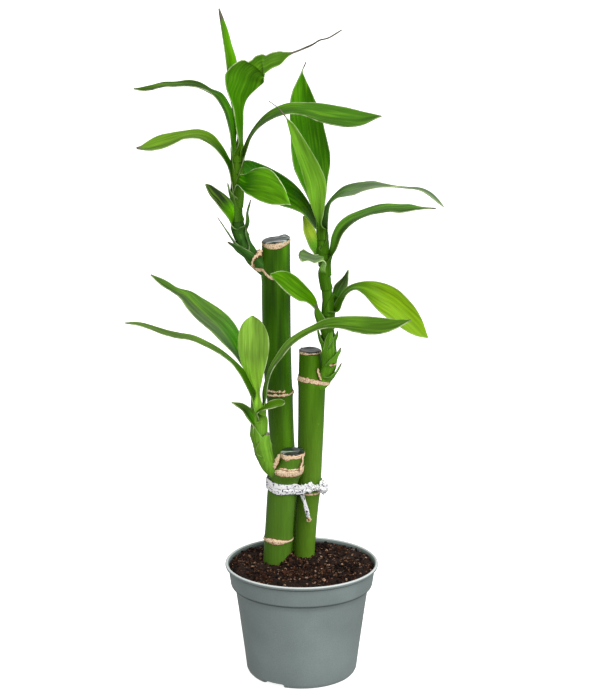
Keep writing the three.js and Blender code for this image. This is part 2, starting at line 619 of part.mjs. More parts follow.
function along(rows, height) {
  const upper = Math.max(1, rows.findIndex((row) => row[2] >= height));
  const [a, b] = [rows[upper - 1], rows[upper]];
  const share = (height - a[2]) / (b[2] - a[2]);
  return a.map((value, i) => value + share * (b[i] - value));
}

function caneSolid(cane, grow = 0) {
  const stations = cane.axis.map((row) => ({ height: row[2], rise: 0, slope: 0 }));
  stations[0].height -= grow;
  for (const ring of cane.rings) {
    for (const [offset, share] of SCAR_PROFILE) {
      stations.push({ height: ring.height + offset, rise: ring.rise * share, slope: ring.slope });
    }
  }
  const near = (station) => cane.rings.some((ring) => Math.abs(ring.height - station.height) < SCAR_REACH);
  const kept = stations.filter((station) => station.rise > 0 || !near(station));
  kept.sort((a, b) => a.height - b.height);
  const top = kept.at(-1);
  return loft(
    kept.map((station) => {
      const [x, y, , radius] = along(cane.axis, Math.max(station.height, CANE_FOOT));
      const slopes = station === top ? cane.topSlope : [station.slope, 0];
      const lift = station === top ? grow : 0;
      return level(x, y, station.height + lift, radius + station.rise + grow, CANE_SIDES, ...slopes);
    }),
  );
}

function waxSolid(cane) {
  const [x, y, z, radius] = cane.axis.at(-1);
  const profile = [
    [radius + WAX_OVERHANG, CLEAR],
    [radius + WAX_OVERHANG, WAX_SIDE * WAX_THICKNESS],
    [WAX_FLAT * radius, WAX_THICKNESS],
  ];
  return loft(profile.map(([r, lift]) => level(x, y, z + lift, r, CANE_SIDES, ...cane.topSlope)));
}

// Shoots: a round stem along a smooth line, with bracts sunk into it.

class Stem {
  constructor(rows) {
    this.rows = rows;
    const points = rows.map(([x, y, z]) => new THREE.Vector3(x, y, z));
    this.route = new THREE.CatmullRomCurve3(points, false, "centripetal");
  }

  at(height) {
    const steps = 200;
    const points = this.route.getPoints(steps);
    const next = points.findIndex((p) => p.z >= height);
    return next < 0 ? points.at(-1).clone().setZ(height) : points[next].clone();
  }

  radius(height) {
    return along(this.rows, Math.min(height, this.rows.at(-1)[2] - 0.01))[3];
  }

  solid(grow = 0) {
    const rings = [];
    let across = new THREE.Vector3(0, 1, 0);
    for (let i = 0; i <= STEM_STEPS; i += 1) {
      const point = this.route.getPointAt(i / STEM_STEPS);
      const ahead = this.route.getTangentAt(i / STEM_STEPS);
      across = across.addScaledVector(ahead, -across.dot(ahead)).normalize();
      const other = ahead.clone().cross(across);
      const radius = this.radius(point.z) + grow;
      if (i === STEM_STEPS) point.addScaledVector(ahead, grow);
      rings.push(
        Array.from({ length: STEM_SIDES }, (_, k) => {
          const turn = bearing((360 * k) / STEM_SIDES).multiplyScalar(radius);
          return point.clone().addScaledVector(across, turn.x).addScaledVector(other, turn.y);
        }),
      );
    }
    return loft(rings);
  }
}

// Leaves: a sheath that hugs the stem opens into a trough-shaped blade that narrows to its tip. Both faces
// are split alike, so that they never cross. A station has the point on the midrib, the step from the middle
// to the right-hand margin, and the curl.

function sheathStations(leaf, stem) {
  const side = bearing(leaf.bearing);
  const hug = stem.radius(leaf.root) + CLEAR + FIT + BLADE_THICKNESS / 2 - leaf.sunk;
  const reach = hug * Math.sin(SHEATH_HALF_ANGLE * leaf.hold);
  const half = new THREE.Vector3(side.y, -side.x, 0).multiplyScalar(reach);
  return [leaf.root - leaf.sheath, leaf.root].map((height) => {
    return { rib: stem.at(height).addScaledVector(side, hug), half, curl: 1 / hug };
  });
}

function rowStations(leaf) {
  const middles = leaf.rows.map(([x, y, z]) => new THREE.Vector3(x, y, z));
  return leaf.rows.map(([, , , x, y, z], i) => {
    const half = new THREE.Vector3(x, y, z);
    const ahead = directionAt(middles, i);
    const up = half.clone().cross(ahead).normalize();
    const depth = (1 - Math.cos(Math.asin(leaf.curl * half.length()))) / leaf.curl;
    return { rib: middles[i].clone().addScaledVector(up, -depth), half, curl: leaf.curl };
  });
}

function directionAt(points, i) {
  const before = points[Math.max(i - 1, 0)];
  const after = points[Math.min(i + 1, points.length - 1)];
  return after.clone().sub(before).normalize();
}

function closeStations(stations) {
  const route = new THREE.CatmullRomCurve3(stations.map(({ rib }) => rib), false, "centripetal");
  const spans = stations.length - 1;
  const close = [stations[0]];
  for (let i = 0; i < spans; i += 1) {
    const [a, b] = [stations[i], stations[i + 1]];
    const parts = Math.ceil(a.rib.distanceTo(b.rib) / BLADE_STEP);
    for (let k = 1; k <= parts; k += 1) {
      const share = k / parts;
      close.push({
        rib: route.getPoint((i + share) / spans),
        half: a.half.clone().lerp(b.half, share),
        curl: THREE.MathUtils.lerp(a.curl, b.curl, share),
      });
    }
  }
  return close;
}

function leafSolid(spec, stem, grow = 0) {
  const usual = { curl: BLADE_CURL, sunk: 0, hold: 1, columns: BLADE_COLUMNS, sheath: SHEATH_LENGTH };
  const leaf = { ...usual, ...spec };
  const stations = closeStations([...sheathStations(leaf, stem), ...rowStations(leaf)]);
  const ribs = stations.map(({ rib }) => rib);
  const upper = [];
  const lower = [];
  stations.forEach(({ rib, half, curl }, i) => {
    const ahead = directionAt(ribs, i);
    const across = half.clone().normalize();
    const up = across.clone().cross(ahead).normalize();
    const point = rib.clone();
    if (i === 0) point.addScaledVector(ahead, -grow);
    if (i === stations.length - 1) point.addScaledVector(ahead, grow);
    const bend = Math.asin(curl * half.length()) + curl * grow;
    for (let k = 0; k <= leaf.columns; k += 1) {
      const angle = bend * ((2 * k) / leaf.columns - 1);
      const middle = point.clone();
      middle.addScaledVector(across, Math.sin(angle) / curl);
      middle.addScaledVector(up, (1 - Math.cos(angle)) / curl);
      const facing = up.clone().multiplyScalar(Math.cos(angle)).addScaledVector(across, -Math.sin(angle));
      const depth = BLADE_THICKNESS / 2 + grow;
      upper.push(middle.clone().addScaledVector(facing, depth));
      lower.push(middle.addScaledVector(facing, -depth));
    }
  });
  return stripSolid(upper, lower, leaf.columns);
}

function stripSolid(upper, lower, columns) {
  const row = columns + 1;
  const under = upper.length;
  const lastRow = under - row;
  const faces = [];
  for (let start = 0; start < lastRow; start += row) {
    for (let k = 0; k < columns; k += 1) {
      const [a, b, c, d] = [start + k, start + k + 1, start + row + k + 1, start + row + k];
      faces.push(a, b, c, a, c, d);
      faces.push(under + a, under + c, under + b, under + a, under + d, under + c);
    }
    const left = start;
    const right = start + columns;
    faces.push(left, left + row, under + left + row, left, under + left + row, under + left);
    faces.push(right, under + right, under + right + row, right, under + right + row, right + row);
  }
  for (let k = 0; k < columns; k += 1) {
    faces.push(k, under + k, under + k + 1, k, under + k + 1, k + 1);
    const [a, b] = [lastRow + k, lastRow + k + 1];
    faces.push(a, b, under + b, a, under + b, under + a);
  }
  return solidOf(geometryFrom([...upper, ...lower], faces));
}

function bractSolid(bract, stem, grow) {
  const side = bearing(bract.bearing);
  const rows = bract.spine.map((point, i) => {
    const share = (i + 1) / bract.spine.length;
    const half = (bract.width / 2) * (1 - BRACT_TAPER * share * share);
    return [...point, side.y * half, -side.x * half, 0];
  });
  return leafSolid({ ...BRACT, bearing: bract.bearing, root: bract.root, rows }, stem, grow);
}

function shootSolid(stem, bracts, grow = 0) {
  return joined([stem.solid(grow), ...bracts.map((bract) => bractSolid(bract, stem, grow))]);
}

// Tie: a foil-covered wire band round the three canes, twisted into a knot at the right, with one end
// hanging down.

function bandLevel(circles, height) {
  const half = TIE_WIDTH / 2;
  const [short] = along(CANES.short.axis, height);
  return Array.from({ length: TIE_STEPS }, (_, i) => {
    const out = bearing((360 * i) / TIE_STEPS);
    const reach = ({ x, y, r }) => x * out.x + y * out.y + r;
    const held = circles.reduce((best, circle) => (reach(circle) > reach(best) ? circle : best));
    const crease = i % 2 === 0 ? 0 : TIE_CREASE;
    const sway = TIE_SWAY * Math.sin((8 * Math.PI * i) / TIE_STEPS);
    const inside = held.r + crease;
    return [
      [inside, -half], [inside + TIE_THICKNESS, -half], [inside + TIE_THICKNESS, half], [inside, half],
    ].map(([r, lift]) => {
      const [x, y] = [held.x + r * out.x, held.y + r * out.y];
      return new THREE.Vector3(x, y, height + TIE_SLOPE * (x - short) + sway + lift);
    });
  });
}

function closedBand(rings) {
  const points = rings.flat();
  const faces = [];
  rings.forEach((ring, i) => {
    const start = 4 * i;
    const next = 4 * ((i + 1) % rings.length);
    for (let k = 0; k < 4; k += 1) {
      const other = (k + 1) % 4;
      faces.push(start + k, next + k, next + other, start + k, next + other, start + other);
    }
  });
  return solidOf(geometryFrom(points, faces));
}

function tieSolid(fatCanes) {
  const circles = Object.values(CANES).map(({ axis }) => {
    const [x, y, , radius] = along(axis, TIE_HEIGHT);
    return { x, y, r: radius + CLEAR + 2 * FIT };
  });
  const band = closedBand(bandLevel(circles, TIE_HEIGHT));
  const knot = new THREE.IcosahedronGeometry(1, 1).scale(...KNOT_RADII).translate(...KNOT_CENTRE);
  const tail = loft(TAIL.map(([x, y, z, radius]) => level(x, y, z, radius, TAIL_SIDES)));
  return largest(joined([band, solidOf(knot), tail]).subtract(fatCanes));
}

// Assembly

const fatCanes = joined(Object.values(CANES).map((cane) => caneSolid(cane, CLEAR)));
place("pot", potSolid(), COLOURS.pot, 0.55);
place("soil", largest(soilSolid().subtract(fatCanes)), COLOURS.soil, 1);

const waxes = [];
for (const [name, cane] of Object.entries(CANES)) {
  place(`cane_${name}`, caneSolid(cane), cane.colour, 0.4);
  waxes.push(waxSolid(cane));
  place(`wax_${name}`, waxes.at(-1), COLOURS.wax, 0.35);
}
place("foil_tie", tieSolid(fatCanes), COLOURS.tie, 0.3, 0.9);

const taken = [fatCanes, ...waxes];
for (const [name, shoot] of Object.entries(SHOOTS)) {
  shoot.stem = new Stem(shoot.axis);
  place(`shoot_${name}`, largest(shootSolid(shoot.stem, shoot.bracts).subtract(fatCanes)), COLOURS.stem, 0.4);
  taken.push(shootSolid(shoot.stem, shoot.bracts, CLEAR));
}

for (const [name, shoot] of Object.entries(SHOOTS)) {
  const upward = shoot.leaves.map((leaf, i) => ({ ...leaf, name: `leaf_${name}_${i + 1}` })).reverse();
  upward.forEach((leaf, i) => {
    const room = i > 0 ? leaf.root - upward[i - 1].root - CLEAR : SHEATH_LENGTH;
    leaf.sheath = THREE.MathUtils.clamp(room, SHORTEST_SHEATH, SHEATH_LENGTH);
    const cut = taken.reduce((body, other) => body.subtract(other), leafSolid(leaf, shoot.stem));
    const colours = [COLOURS.leafPale, COLOURS.leafMid, COLOURS.leafDark];
    place(leaf.name, largest(cut), colours[i % colours.length], 0.35);
    taken.push(leafSolid(leaf, shoot.stem, CLEAR));
  });
}

export default root;
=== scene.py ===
# %% [markdown]
# # Lucky bamboo in its nursery pot
#
# The plant is three cut canes of Dracaena sanderiana, bound with a foil tie and planted in a small
# plastic pot. Each cane carries one leafy shoot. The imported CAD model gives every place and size, and
# this lesson dresses it: each CAD solid gets a finer piece in the same place.

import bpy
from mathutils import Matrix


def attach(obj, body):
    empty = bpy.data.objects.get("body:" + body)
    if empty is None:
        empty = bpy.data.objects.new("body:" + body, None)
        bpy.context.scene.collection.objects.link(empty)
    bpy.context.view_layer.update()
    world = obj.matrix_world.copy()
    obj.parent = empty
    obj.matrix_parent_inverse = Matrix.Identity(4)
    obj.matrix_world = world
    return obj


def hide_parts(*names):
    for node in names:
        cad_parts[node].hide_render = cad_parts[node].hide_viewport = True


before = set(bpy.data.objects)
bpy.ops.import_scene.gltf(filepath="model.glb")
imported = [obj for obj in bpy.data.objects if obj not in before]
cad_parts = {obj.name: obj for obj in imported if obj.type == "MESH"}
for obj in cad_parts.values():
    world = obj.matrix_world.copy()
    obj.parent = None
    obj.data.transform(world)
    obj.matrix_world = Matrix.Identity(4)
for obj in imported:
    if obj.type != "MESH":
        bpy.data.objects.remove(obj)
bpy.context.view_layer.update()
print("CAD nodes:", len(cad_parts))

# %% [markdown]
# ## Units and small tools
#
# A plant this small is easiest to measure in millimetres, but Blender and the CAD frame are in metres.
# All the tables below are in millimetres, and a piece is turned to metres only when its mesh is written.

# %% Modules, the millimetre and the random draws
import math

import bpy
import numpy as np
from mathutils import Vector, noise

MM = 0.001
random = np.random.default_rng(7)
bpy.ops.object.select_all(action="DESELECT")
print("One millimetre is", MM, "m")

# %% Small tools for selecting and editing
SEAM = 0.002  # millimetres within which two corners are one


def pick(piece):
    """Selects a piece alone and makes it active."""
    bpy.ops.object.select_all(action="DESELECT")
    bpy.context.view_layer.objects.active = piece
    piece.select_set(True)


def edit(piece):
    """Opens a piece in edit mode with all of it selected."""
    pick(piece)
    bpy.ops.object.mode_set(mode="EDIT")
    bpy.ops.mesh.select_all(action="SELECT")


def leave():
    bpy.ops.object.mode_set(mode="OBJECT")


def sew(piece, seam=SEAM):
    """Makes one corner of corners that lie no further apart than the seam."""
    edit(piece)
    bpy.ops.mesh.remove_doubles(threshold=seam * MM)
    leave()


def face_out(piece):
    """Turns all faces outwards."""
    edit(piece)
    bpy.ops.mesh.normals_make_consistent(inside=False)
    leave()


def modify(piece, kind, **settings):
    """Adds a modifier with its settings and applies it at once."""
    pick(piece)
    step = piece.modifiers.new(kind.lower(), kind)
    for name, value in settings.items():
        setattr(step, name, value)
    bpy.ops.object.modifier_apply(modifier=step.name)


print("Seams are closed within", SEAM, "mm")


# %% Small tools for making and measuring
def added(name):
    """Names the object that the last operator added."""
    piece = bpy.context.object
    piece.name = piece.data.name = name
    return piece


def built(name, corners, edges=(), faces=()):
    """A new piece from corners in millimetres and the edges or faces that join them."""
    mesh = bpy.data.meshes.new(name)
    mesh.from_pydata((np.array(corners, float) * MM).tolist(), edges, faces)
    piece = bpy.data.objects.new(name, mesh)
    bpy.context.collection.objects.link(piece)
    return piece


def corners_of(piece, size=MM):
    """Where the corners of a mesh are, in millimetres."""
    return np.array([v.co for v in piece.data.vertices]) / size


def move_corners(piece, points):
    """Moves the corners to points in millimetres."""
    piece.data.vertices.foreach_set("co", (points * MM).ravel())
    piece.data.update()


def sizes(piece):
    """The length of a piece along each axis, in millimetres, and its number of faces."""
    points = corners_of(piece)
    return np.round(points.max(0) - points.min(0), 1).tolist(), len(piece.data.polygons)


print("Tools ready for lengths in mm")

# %% [markdown]
# ## Colours and nodes
#
# Colours are picked as sRGB hex values, the way a paint program shows them, while Blender's shaders
# work with linear light. One function turns the first into the second. Another one adds a node, sets
# its options and joins its inputs, so that each material below reads as a short list.


# %% Turn a hex colour to linear light
def linear(code):
    values = [int(code[i : i + 2], 16) / 255 for i in (1, 3, 5)]
    return [v / 12.92 if v <= 0.04045 else ((v + 0.055) / 1.055) ** 2.4 for v in values] + [1.0]


print("Pot grey in linear light:", [round(v, 3) for v in linear("#7f8d8a")])

# %% Add a node
FACTOR, COLOUR_A, COLOUR_B, MIXED = 0, 6, 7, 2  # where a colour Mix node keeps its inputs and its result
BLEND = {"data_type": "RGBA"}
MULTIPLY = {"data_type": "RGBA", "blend_type": "MULTIPLY"}


def add(tree, kind, inputs=(), stops=(), **settings):
    """Adds a node and returns its outputs. settings are its own options. inputs gives a value or another
    node's output for each input by name, or a list in the node's own order, which for MapRange is the
    value and the ends of both ranges. stops gives a colour ramp its places and colours."""
    node = tree.nodes.new("ShaderNode" + kind)
    for name, value in settings.items():
        setattr(node, name, value)
    for name, value in inputs.items() if isinstance(inputs, dict) else enumerate(inputs):
        if isinstance(value, bpy.types.NodeSocket):
            tree.links.new(value, node.inputs[name])
        else:
            node.inputs[name].default_value = value
    if stops:
        ramp = node.color_ramp
        while len(ramp.elements) < len(stops):
            ramp.elements.new(0.5)
        for element, (place, code) in zip(ramp.elements, stops):
            element.position = place
            element.color = linear(code)
    return node.outputs


def new_material(name):
    """An empty material and its node tree."""
    material = bpy.data.materials.new(name)
    material.use_nodes = True
    material.node_tree.nodes.clear()
    return material, material.node_tree


def surface(tree, **inputs):
    """Ends a material with one Principled shader, whose inputs are given by name."""
    shader = add(tree, "BsdfPrincipled", {name.replace("_", " "): value for name, value in inputs.items()})
    add(tree, "OutputMaterial", {"Surface": shader["BSDF"]})


print("Node tools ready")

# %% [markdown]
# ## Camera
#
# The photograph was taken from a little above, with a long lens, from more than a metre away. The
# ellipse of the pot's rim and the way that the canes lean out of the vertical give the height and the
# pitch. The width of the pot, 90 mm, gives the distance.

# %% Place the camera
CAMERA_PLACE = (-1 * MM, -1150 * MM, 480 * MM)
CAMERA_PITCH = 13.87  # degrees below the horizon
FOCAL_PIXELS = 2065
IMAGE_HEIGHT = 700
SENSOR = 36  # millimetres along the image's long side

bpy.ops.object.camera_add(location=CAMERA_PLACE, rotation=(math.radians(90 - CAMERA_PITCH), 0, 0))
camera = bpy.context.object
camera.data.sensor_width = SENSOR
camera.data.lens = FOCAL_PIXELS * SENSOR / IMAGE_HEIGHT
bpy.context.scene.camera = camera
print("Lens in mm:", round(camera.data.lens, 1))

# %% [markdown]
# ## Floor and light
#
# A product photograph like this one is taken on a table of white acrylic that is lit from below, in a
# white room. The lit table swallows the shadows, and one very large soft box, high at the right and in
# front, makes the right side of each cane a little lighter than the left. The table is a plane that glows,
# and so wide that the camera sees no horizon. Its glow is kept off the plant, because the real table's
# edge is masked with black card. The room is an even white sky, and the soft box is a sun lamp with a huge
# angle, so that its light is as soft far away as near the pot.

# %% Floor
FLOOR_SIZE = 190  # metres
bpy.ops.mesh.primitive_plane_add(size=FLOOR_SIZE)
floor = added("studio_floor")
acrylic, tree = new_material("white acrylic table, lit from below")
surface(tree, Base_Color=linear("#f2f2f2"), Roughness=0.8, Specular_IOR_Level=0.05,
        Emission_Color=linear("#ffffff"), Emission_Strength=0.8)
floor.data.materials.append(acrylic)
floor.visible_diffuse = False
floor.visible_glossy = False
print("Floor:", FLOOR_SIZE, "m wide")

# %% Sky and soft box
SKY_STRENGTH = 0.5
SUN_STRENGTH = 2.3
SUN_TILT, SUN_TURN, SUN_SPREAD = 50, 28, 60  # degrees from straight above, towards the right, and wide

world = bpy.data.worlds.new("studio")
world.use_nodes = True
sky = world.node_tree.nodes["Background"]
sky.inputs["Color"].default_value = linear("#ffffff")
sky.inputs["Strength"].default_value = SKY_STRENGTH
bpy.context.scene.world = world

bpy.ops.object.light_add(type="SUN", rotation=(math.radians(SUN_TILT), 0, math.radians(SUN_TURN)))
soft_box = bpy.context.object
soft_box.data.angle = math.radians(SUN_SPREAD)
soft_box.data.energy = SUN_STRENGTH
bpy.context.scene.view_settings.view_transform = "Standard"
print("Soft box tilted by", SUN_TILT, "degrees")

# %% [markdown]
# ## The pot
#
# The real pot is a thin cup of grey-green polypropylene, moulded in one shot: a lip, a band under it
# that stiffens the rim, a tapering wall, and a base with three notches that let water out. A turned
# shape is made best by drawing half of its outline and spinning it round. The notches are cut with a
# Boolean, as the mould's inserts do it.

# %% Spin the pot's outline
POT_OUTLINE = [
    # radius and height, from the middle of the underside, up the outside, over the lip and down inside
    (0, 0), (28.6, 0), (29.8, 0.25), (31, 0.9), (31.9, 1.9), (32.6, 3.4), (34.1, 16), (35.7, 28),
    (37.2, 39.5), (38.7, 50), (38.95, 51.2), (39.5, 52.5), (40.3, 53.5), (40.7, 54), (40.6, 54.6),
    (41.5, 54.8), (41.75, 55.5), (42.4, 60), (43.1, 65), (43, 65.6), (43.9, 65.8), (44.4, 65.9),
    (44.8, 66.3), (45, 66.9), (44.9, 67.5), (44.5, 67.9), (43.9, 68), (43.5, 67.7), (43.1, 67),
    (42.4, 64), (41.2, 57.4), (40.5, 56.3), (38.2, 51.6), (37.6, 50), (34.2, 24), (31.6, 6), (30.4, 4.4),
    (0, 4.2),
]
POT_STEPS = 128
pot = built("pot_moulding", [(r, 0, z) for r, z in POT_OUTLINE],
            [(i, i + 1) for i in range(len(POT_OUTLINE) - 1)])
edit(pot)
bpy.ops.mesh.spin(steps=POT_STEPS, angle=2 * math.pi, center=(0, 0, 0), axis=(0, 0, 1))
leave()
sew(pot, 0.001)
face_out(pot)
print("Pot:", sizes(pot))

# %% Cut the notches and drain holes
NOTCH_BEARINGS = [-123, -3, 117]
NOTCH_HALF = 14  # degrees
NOTCH_SECTION = [(18, -2), (50, -2), (50, 3), (18, 3)]  # radius and height of its corners
DRAIN_FROM_CENTRE = 25
DRAIN_RADIUS = 2.5
for at in NOTCH_BEARINGS:
    # a flat piece of the notch's section is drawn at one side and spun clockwise to the other
    start = math.radians(at + NOTCH_HALF)
    section = [(r * math.cos(start), r * math.sin(start), z) for r, z in NOTCH_SECTION]
    cutter = built("notch_cutter", section, faces=[(0, 1, 2, 3)])
    edit(cutter)
    bpy.ops.mesh.spin(steps=8, angle=2 * math.radians(NOTCH_HALF), center=(0, 0, 0), axis=(0, 0, 1))
    leave()
    face_out(cutter)
    modify(cutter, "BEVEL", width=0.9 * MM, segments=3, limit_method="ANGLE")
    modify(pot, "BOOLEAN", operation="DIFFERENCE", object=cutter, solver="EXACT")
    bpy.data.objects.remove(cutter)

    angle = math.radians(at)
    place = (DRAIN_FROM_CENTRE * math.cos(angle) * MM, DRAIN_FROM_CENTRE * math.sin(angle) * MM, 3.5 * MM)
    bpy.ops.mesh.primitive_cylinder_add(vertices=24, radius=DRAIN_RADIUS * MM, depth=4 * MM, location=place)
    drill = added("drain_cutter")
    modify(pot, "BOOLEAN", operation="DIFFERENCE", object=drill, solver="EXACT")
    bpy.data.objects.remove(drill)
print("Pot with notches:", sizes(pot))

# %% [markdown]
# Polypropylene comes from the mould with a fine matt grain, and recycled grey-green stock is a little
# uneven in colour. The base colour is a grey green, broken up by a broad soft noise and a fine one. A pale
# painted highlight runs along the top of the lip, painted shade darkens the two creases of the rim, and
# the grain is a bump of about 0.4 mm, drawn coarser than the real 0.1 mm so that it shows.

# %% Material of the pot
plastic, tree = new_material("moulded polypropylene, grey green")
place = add(tree, "TexCoord")["Object"]
broad = add(tree, "TexNoise", {"Vector": place, "Scale": 38, "Detail": 2, "Roughness": 0.5})["Fac"]
cloudy = add(tree, "ValToRGB", [broad], [(0.3, "#7d8987"), (0.7, "#899694")])["Color"]
grain = add(tree, "TexNoise", {"Vector": place, "Scale": 1 / (0.45 * MM), "Detail": 2})["Fac"]
speckle = add(tree, "ValToRGB", [grain], [(0.35, "#eceeed"), (0.65, "#ffffff")])["Color"]
speckled = add(tree, "Mix", {FACTOR: 1, COLOUR_A: cloudy, COLOUR_B: speckle}, **MULTIPLY)[MIXED]
height = add(tree, "SeparateXYZ", [place])["Z"]
up_rim = add(tree, "MapRange", [height, 50 * MM, 70 * MM])["Result"]
# painted shade: two dark bands darken the groove under the band and the undercut of the lip
crease_shade_and_peat_grain = add(tree, "ValToRGB", [up_rim], [
    (0.18, "#ffffff"), (0.22, "#a5a5a5"), (0.25, "#a5a5a5"), (0.29, "#ffffff"),
    (0.74, "#ffffff"), (0.77, "#b4b4b4"), (0.79, "#b4b4b4"), (0.82, "#ffffff")])["Color"]
crease_shaded = add(tree, "Mix", {FACTOR: 1, COLOUR_A: speckled, COLOUR_B: crease_shade_and_peat_grain}, **MULTIPLY)[MIXED]
# painted highlight: a pale line along the top of the lip
at_lip = add(tree, "MapRange", [height, 67.2 * MM, 67.7 * MM])["Result"]
painted_lip_highlight = add(tree, "Mix", {FACTOR: at_lip, COLOUR_A: crease_shaded, COLOUR_B: linear("#dde3e1")}, **BLEND)[MIXED]
bump = add(tree, "Bump", {"Height": grain, "Strength": 0.2, "Distance": 0.05 * MM})["Normal"]
surface(tree, Base_Color=painted_lip_highlight, Normal=bump, Roughness=0.55, IOR=1.49, Specular_IOR_Level=0.3)
print("Material:", plastic.name)

# %% Dress a piece
SMOOTH_ANGLE = 45  # degrees: a sharper edge stays an edge


def wear(piece, material=None, node=None):
    """Gives a finished piece its material and its smooth shading, and ties it to the CAD model."""
    if material:
        piece.data.materials.append(material)
    pick(piece)
    bpy.ops.object.shade_smooth_by_angle(angle=math.radians(SMOOTH_ANGLE))
    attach(piece, "root")
    if node:
        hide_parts(node)


wear(pot, plastic, "pot")
print("Dressed:", pot.name)

# %% [markdown]
# ## A sheet that is wrapped into shape
#
# Soil, scars, stems, leaves and foil are all thin skins. Each could be sculpted by hand, but a living
# thing has too many of them. So they start alike, as a flat grid, which brings a tidy UV map with it.
# Every corner of the grid is then carried to its own place by a rule, as paper is wrapped on a form.


# %% Wrap a grid
def wrapped(name, across, along, rule, closed=False):
    """A grid whose corner at u, v, each from 0 to 1, goes where rule(u, v) says, in millimetres. The rule
    also returns notes for the corners. A closed grid is sewn up where its first and last columns meet."""
    bpy.ops.mesh.primitive_grid_add(x_subdivisions=across, y_subdivisions=along, size=1)
    piece = added(name)
    flat = corners_of(piece, 1)
    points, notes = rule(flat[:, 0] + 0.5, flat[:, 1] + 0.5)
    move_corners(piece, points)
    for layer, values in notes.items():
        note(piece, layer, values)
    if closed:
        sew(piece)
    return piece


print("A closed sheet is sewn up within", SEAM, "mm")


# %% Notes for the materials, noise and curves
def note(piece, name, values):
    """Keeps a number or a colour for each vertex, for a material to read."""
    kind = "FLOAT" if np.ndim(values) == 1 else "FLOAT_VECTOR" if len(values[0]) == 3 else "FLOAT_COLOR"
    field = {"FLOAT": "value", "FLOAT_VECTOR": "vector", "FLOAT_COLOR": "color"}[kind]
    layer = piece.data.attributes.new(name, kind, "POINT")
    layer.data.foreach_set(field, np.asarray(values, float).ravel())


def rough(points, step, seed=0):
    """Soft noise from -1 to 1 at each point. step is the size of its lumps in millimetres."""
    shift = Vector((seed * 7.3, seed * 3.1, seed * 5.7))
    return np.array([noise.noise(Vector(p) / step + shift) for p in points])


def smooth(low, high, value):
    x = np.clip((value - low) / (high - low), 0, 1)
    return x * x * (3 - 2 * x)


def bell(value, at, width):
    """1 at one value, falling off to nothing over a width each way."""
    return np.exp(-(((value - at) / width) ** 2))


def bearing(degrees):
    """The level direction at a bearing, anticlockwise from +X."""
    angle = np.radians(degrees)
    return np.stack([np.cos(angle), np.sin(angle), 0 * angle], axis=-1)


print("Half way up a smooth step:", smooth(0, 1, 0.5), "and down a bell:", round(float(bell(1, 0, 1)), 2))

# %% [markdown]
# ## Canes: the table
#
# The canes are cut lengths of old stem. The tables repeat the CAD model's own numbers, but the middle
# cane is a little fuller near its upper scar, as in the photograph. A row of an axis is x, y, z and
# radius. A ring is the scar that a fallen leaf left, with its height and its rise. The top is the slope
# of the cut, along x and along y.

# %% The three canes
CANES = {
    "tall": {
        "axis": [(-9, 25, 34, 7), (-9, 25, 66, 7), (-10.2, 20.8, 115, 7.2), (-11.8, 20, 140, 7.3),
                 (-12.8, 19.5, 162, 7.7), (-13.8, 19.4, 174, 8.1), (-14.6, 19.2, 200, 8.2),
                 (-14.9, 19, 221, 8.4), (-14.8, 19, 255.6, 8.2)],
        "rings": [(166, 1), (235.5, 0.8)],
        "top": (0.12, 0.04),
    },
    "middle": {
        "axis": [(1.4, 16, 34, 6), (1.4, 16, 66, 6.1), (2.8, 14.3, 90, 6.5), (4.2, 12.5, 110, 7),
                 (5.4, 11.3, 145, 7.6), (5.9, 10.5, 172, 8), (4.8, 10, 192.3, 6.3)],
        "rings": [(107, 0.4), (175, 0.9)],
        "top": (0, 0.04),
    },
    "short": {
        "axis": [(-15, 5.8, 34, 8), (-14.8, 5.5, 66, 8.1), (-13.7, 5, 81, 8.2), (-11.6, 4.4, 110, 8.5),
                 (-11, 4, 117, 8.8), (-8.9, 1.6, 120.5, 9), (-8.3, 0.2, 125, 9), (-5.9, -1.1, 129.5, 7.3),
                 (-5.2, -1.6, 134.8, 6.9)],
        "rings": [(81, 0.7), (124.5, 0.6)],
        "top": (0, 0.05),
    },
}


def cane_row(cane, z):
    """x, y, z and radius of a cane at a height. The cane swells a little at each scar."""
    rows = np.array(cane["axis"])
    x, y, radius = (np.interp(z, rows[:, 2], rows[:, i]) for i in (0, 1, 3))
    for height, rise in cane["rings"]:
        radius = radius + 0.55 * rise * bell(z, height, 2.2)
    return x, y, z, radius


print("Short cane at its lower scar:", [round(float(v), 1) for v in cane_row(CANES["short"], 81)])

# %% [markdown]
# ## Soil
#
# Potting soil is a mix of dark peat, brown bark crumbs and a few pale fibres, pressed nearly to the lip.
# A texture alone would look flat at the rim, so the surface is a low bumpy disc with thousands of real
# crumbs strewn on it. One crumb has only twenty faces, so that thousands of them stay light.

# %% The soil's surface
SOIL_LEVEL = 66.5
SOIL_EDGE = 42.3
BEDDED = 0.6  # how far the ground lies below the crumbs that cover it
HEAP_AT = (-6.5, 0.5)  # soil heaped against the short cane's foot, where the photograph shows it


def soil_height(x, y):
    spots = np.stack([x, y, 0 * x], axis=-1)
    low = rough(spots, 9, 1) + 0.5 * rough(spots, 3, 2)
    heap = 5.5 * bell(x, HEAP_AT[0], 5) * bell(y, HEAP_AT[1], 4.5)
    pressed = 0.8 * smooth(34, SOIL_EDGE, np.hypot(x, y))
    return SOIL_LEVEL + low + heap - pressed


def soil_rule(u, v):
    points = bearing(360 * u) * (SOIL_EDGE * v)[:, None]
    points[:, 2] = soil_height(points[:, 0], points[:, 1]) - BEDDED
    return points, {}


soil_top = wrapped("soil_surface", 240, 80, soil_rule, closed=True)
print("Soil surface:", sizes(soil_top))

# %% Strew small things on the soil
SOIL_COLOURS = [("#170b06", 0.36), ("#2f190e", 0.3), ("#50301e", 0.2), ("#7c5840", 0.1), ("#b3917a", 0.04)]
CANE_FEET = [cane_row(cane, SOIL_LEVEL) for cane in CANES.values()]


